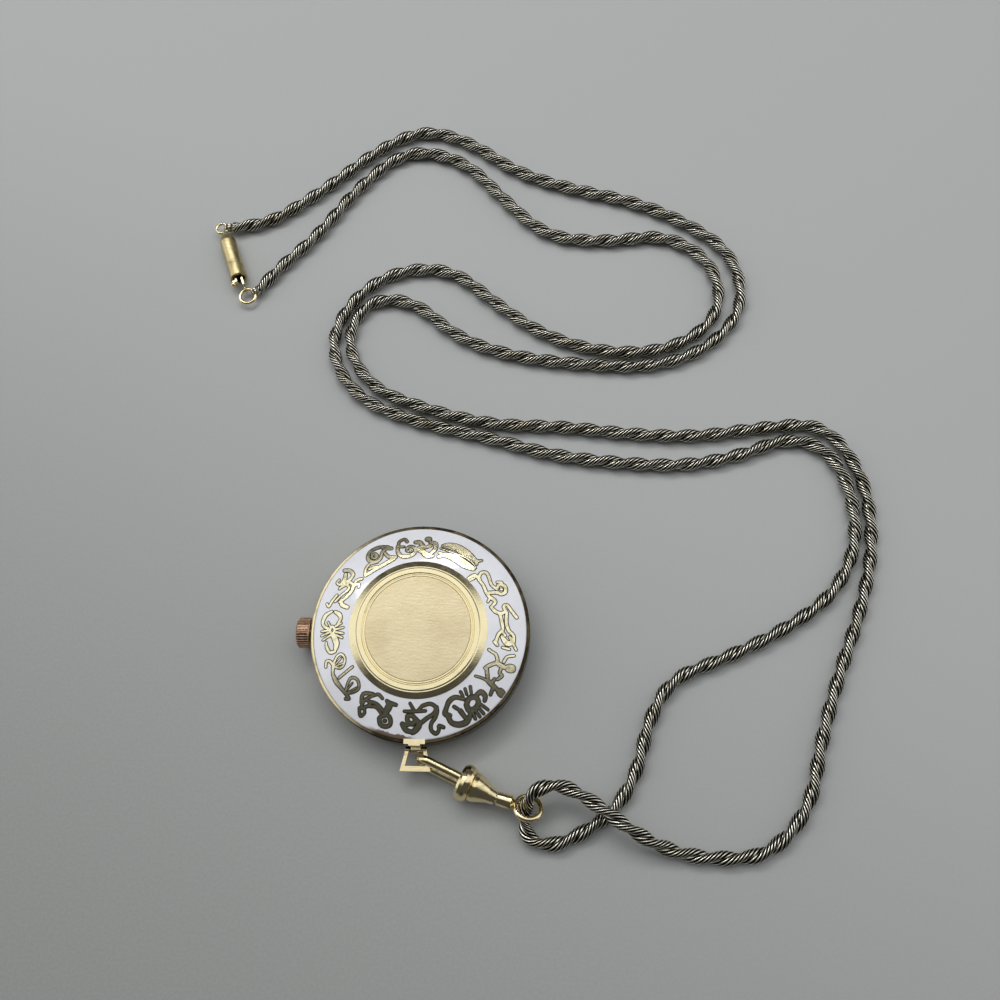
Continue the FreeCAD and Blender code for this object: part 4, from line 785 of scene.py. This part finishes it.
def add_ribbon(points, faces, stroke, grow, lift):
    """A flat raised band with round ends along a stroke, standing on the enamel."""
    rows = stroke_rows(stroke, grow)
    x, y, dx, dy, half = rows[0]
    outline = [(x - dy * half, y + dx * half) for x, y, dx, dy, half in rows]
    outline += half_circle(*rows[-1])
    outline += [(x + dy * half, y - dx * half) for x, y, dx, dy, half in reversed(rows)]
    outline += half_circle(x, y, -dx, -dy, half)
    first, count, n = len(points), len(outline), len(rows)
    points.extend(on_enamel(px, py, lift) for px, py in outline)
    points.extend(on_enamel(px, py, -EDGE_LIFT) for px, py in outline)
    across = [first + 2 * n + CAP_POINTS - 2 - i for i in range(n)]
    for i in range(n - 1):
        faces.append((first + i, across[i], across[i + 1], first + i + 1))
    faces.append(tuple(first + k for k in reversed(range(n - 1, n + CAP_POINTS))))
    faces.append(tuple(first + k % count for k in reversed(range(across[0] - first, count + 1))))
    for k in range(count):
        after = (k + 1) % count
        faces.append((first + k, first + after, first + count + after, first + count + k))


edge_points, edge_faces = [], []
for figure, strokes in FIGURES.items():
    points, faces = [], []
    for order, stroke in enumerate(strokes):
        add_ribbon(points, faces, stroke, 0.0, FIGURE_LIFT + FIGURE_STEP * order)
        add_ribbon(edge_points, edge_faces, stroke, EDGE_WIDTH, EDGE_LIFT + EDGE_STEP * order)
    gilded = add_mesh(f"figure_{figure}", points, faces, smooth=False)
    finish_piece(gilded, "watch", figure_gold)
edges = add_mesh("figure_edges", edge_points, edge_faces, smooth=False)
finish_piece(edges, "watch", figure_edge)


# The floor's painted shadow darkens it towards the near left, over these distances in metres.
FLOOR_SHADOW_DIRECTION = (0.50, 0.85, 0.0)
FLOOR_SHADOW_SPAN = (-0.100, 0.070)
FLOOR_HALF = 2.0

# The bright band of the sky: the direction across it, its edges and its two strengths.
BAND_ACROSS = (0.0, 0.94, -0.342)
BAND = (("From Min", 0.24), ("From Max", 0.46), ("To Min", 1.12), ("To Max", 0.07))


def floor_surface():
    """A plain pale table top, with a painted shadow that darkens it towards the near left."""
    table = Finish("floor", (0.42, 0.43, 0.42), roughness=0.75)
    place = table.add("ShaderNodeVectorMath", operation="DOT_PRODUCT")
    place.inputs[1].default_value = FLOOR_SHADOW_DIRECTION
    table.join(table.place, place.inputs[0])
    grain = table.noise(2200.0, detail=2.0)
    # Painted shadow: the floor's colour darkens towards the near left.
    painted_shadow = table.ramp(place.outputs["Value"], *FLOOR_SHADOW_SPAN)
    tone = table.blend(painted_shadow, (0.275, 0.280, 0.268), (0.455, 0.465, 0.455))
    table.colour(table.blend(table.ramp(grain, 0.3, 0.7, 0.0, 0.10), tone, (0.52, 0.53, 0.52)))
    return table.material


corners = [(-1, -1), (1, -1), (1, 1), (-1, 1)]
floor = add_mesh("floor", [(x * FLOOR_HALF, y * FLOOR_HALF, 0.0) for x, y in corners], [(0, 1, 2, 3)])
floor.data.materials.append(floor_surface())


def softbox(name, place, aim, width, depth, power, mirrored):
    """A rectangular lamp; mirrored says whether polished metal shows its reflection."""
    lamp = bpy.data.lights.new(name, "AREA")
    lamp.shape = "RECTANGLE"
    lamp.size = width
    lamp.size_y = depth
    lamp.energy = power
    box = bpy.data.objects.new(name, lamp)
    box.location = place
    box.rotation_euler = (Vector(aim) - Vector(place)).to_track_quat("-Z", "Y").to_euler()
    box.visible_glossy = mirrored
    scene.collection.objects.link(box)


softbox("overhead", (-0.05, 0.24, 0.62), (0.0, 0.0, 0.0), 1.1, 0.5, 1.3, False)
softbox("strip", (-0.12, 0.36, 0.52), (0.015, 0.03, 0.0), 0.50, 0.08, 0.80, True)


def studio_sky():
    """A pale sky with a bright band overhead and darker sides, front and back."""
    world = bpy.data.worlds.new("studio")
    world.use_nodes = True
    tree = world.node_tree
    place = tree.nodes.new("ShaderNodeTexCoord")
    across = tree.nodes.new("ShaderNodeVectorMath")
    across.operation = "DOT_PRODUCT"
    across.inputs[1].default_value = BAND_ACROSS
    tree.links.new(place.outputs["Generated"], across.inputs[0])
    distance = tree.nodes.new("ShaderNodeMath")
    distance.operation = "ABSOLUTE"
    tree.links.new(across.outputs["Value"], distance.inputs[0])
    band = tree.nodes.new("ShaderNodeMapRange")
    band.interpolation_type = "SMOOTHSTEP"
    for socket, value in BAND:
        band.inputs[socket].default_value = value
    tree.links.new(distance.outputs["Value"], band.inputs["Value"])
    background = tree.nodes["Background"]
    background.inputs["Color"].default_value = (0.96, 0.98, 1.0, 1.0)
    tree.links.new(band.outputs["Result"], background.inputs["Strength"])
    scene.world = world


studio_sky()
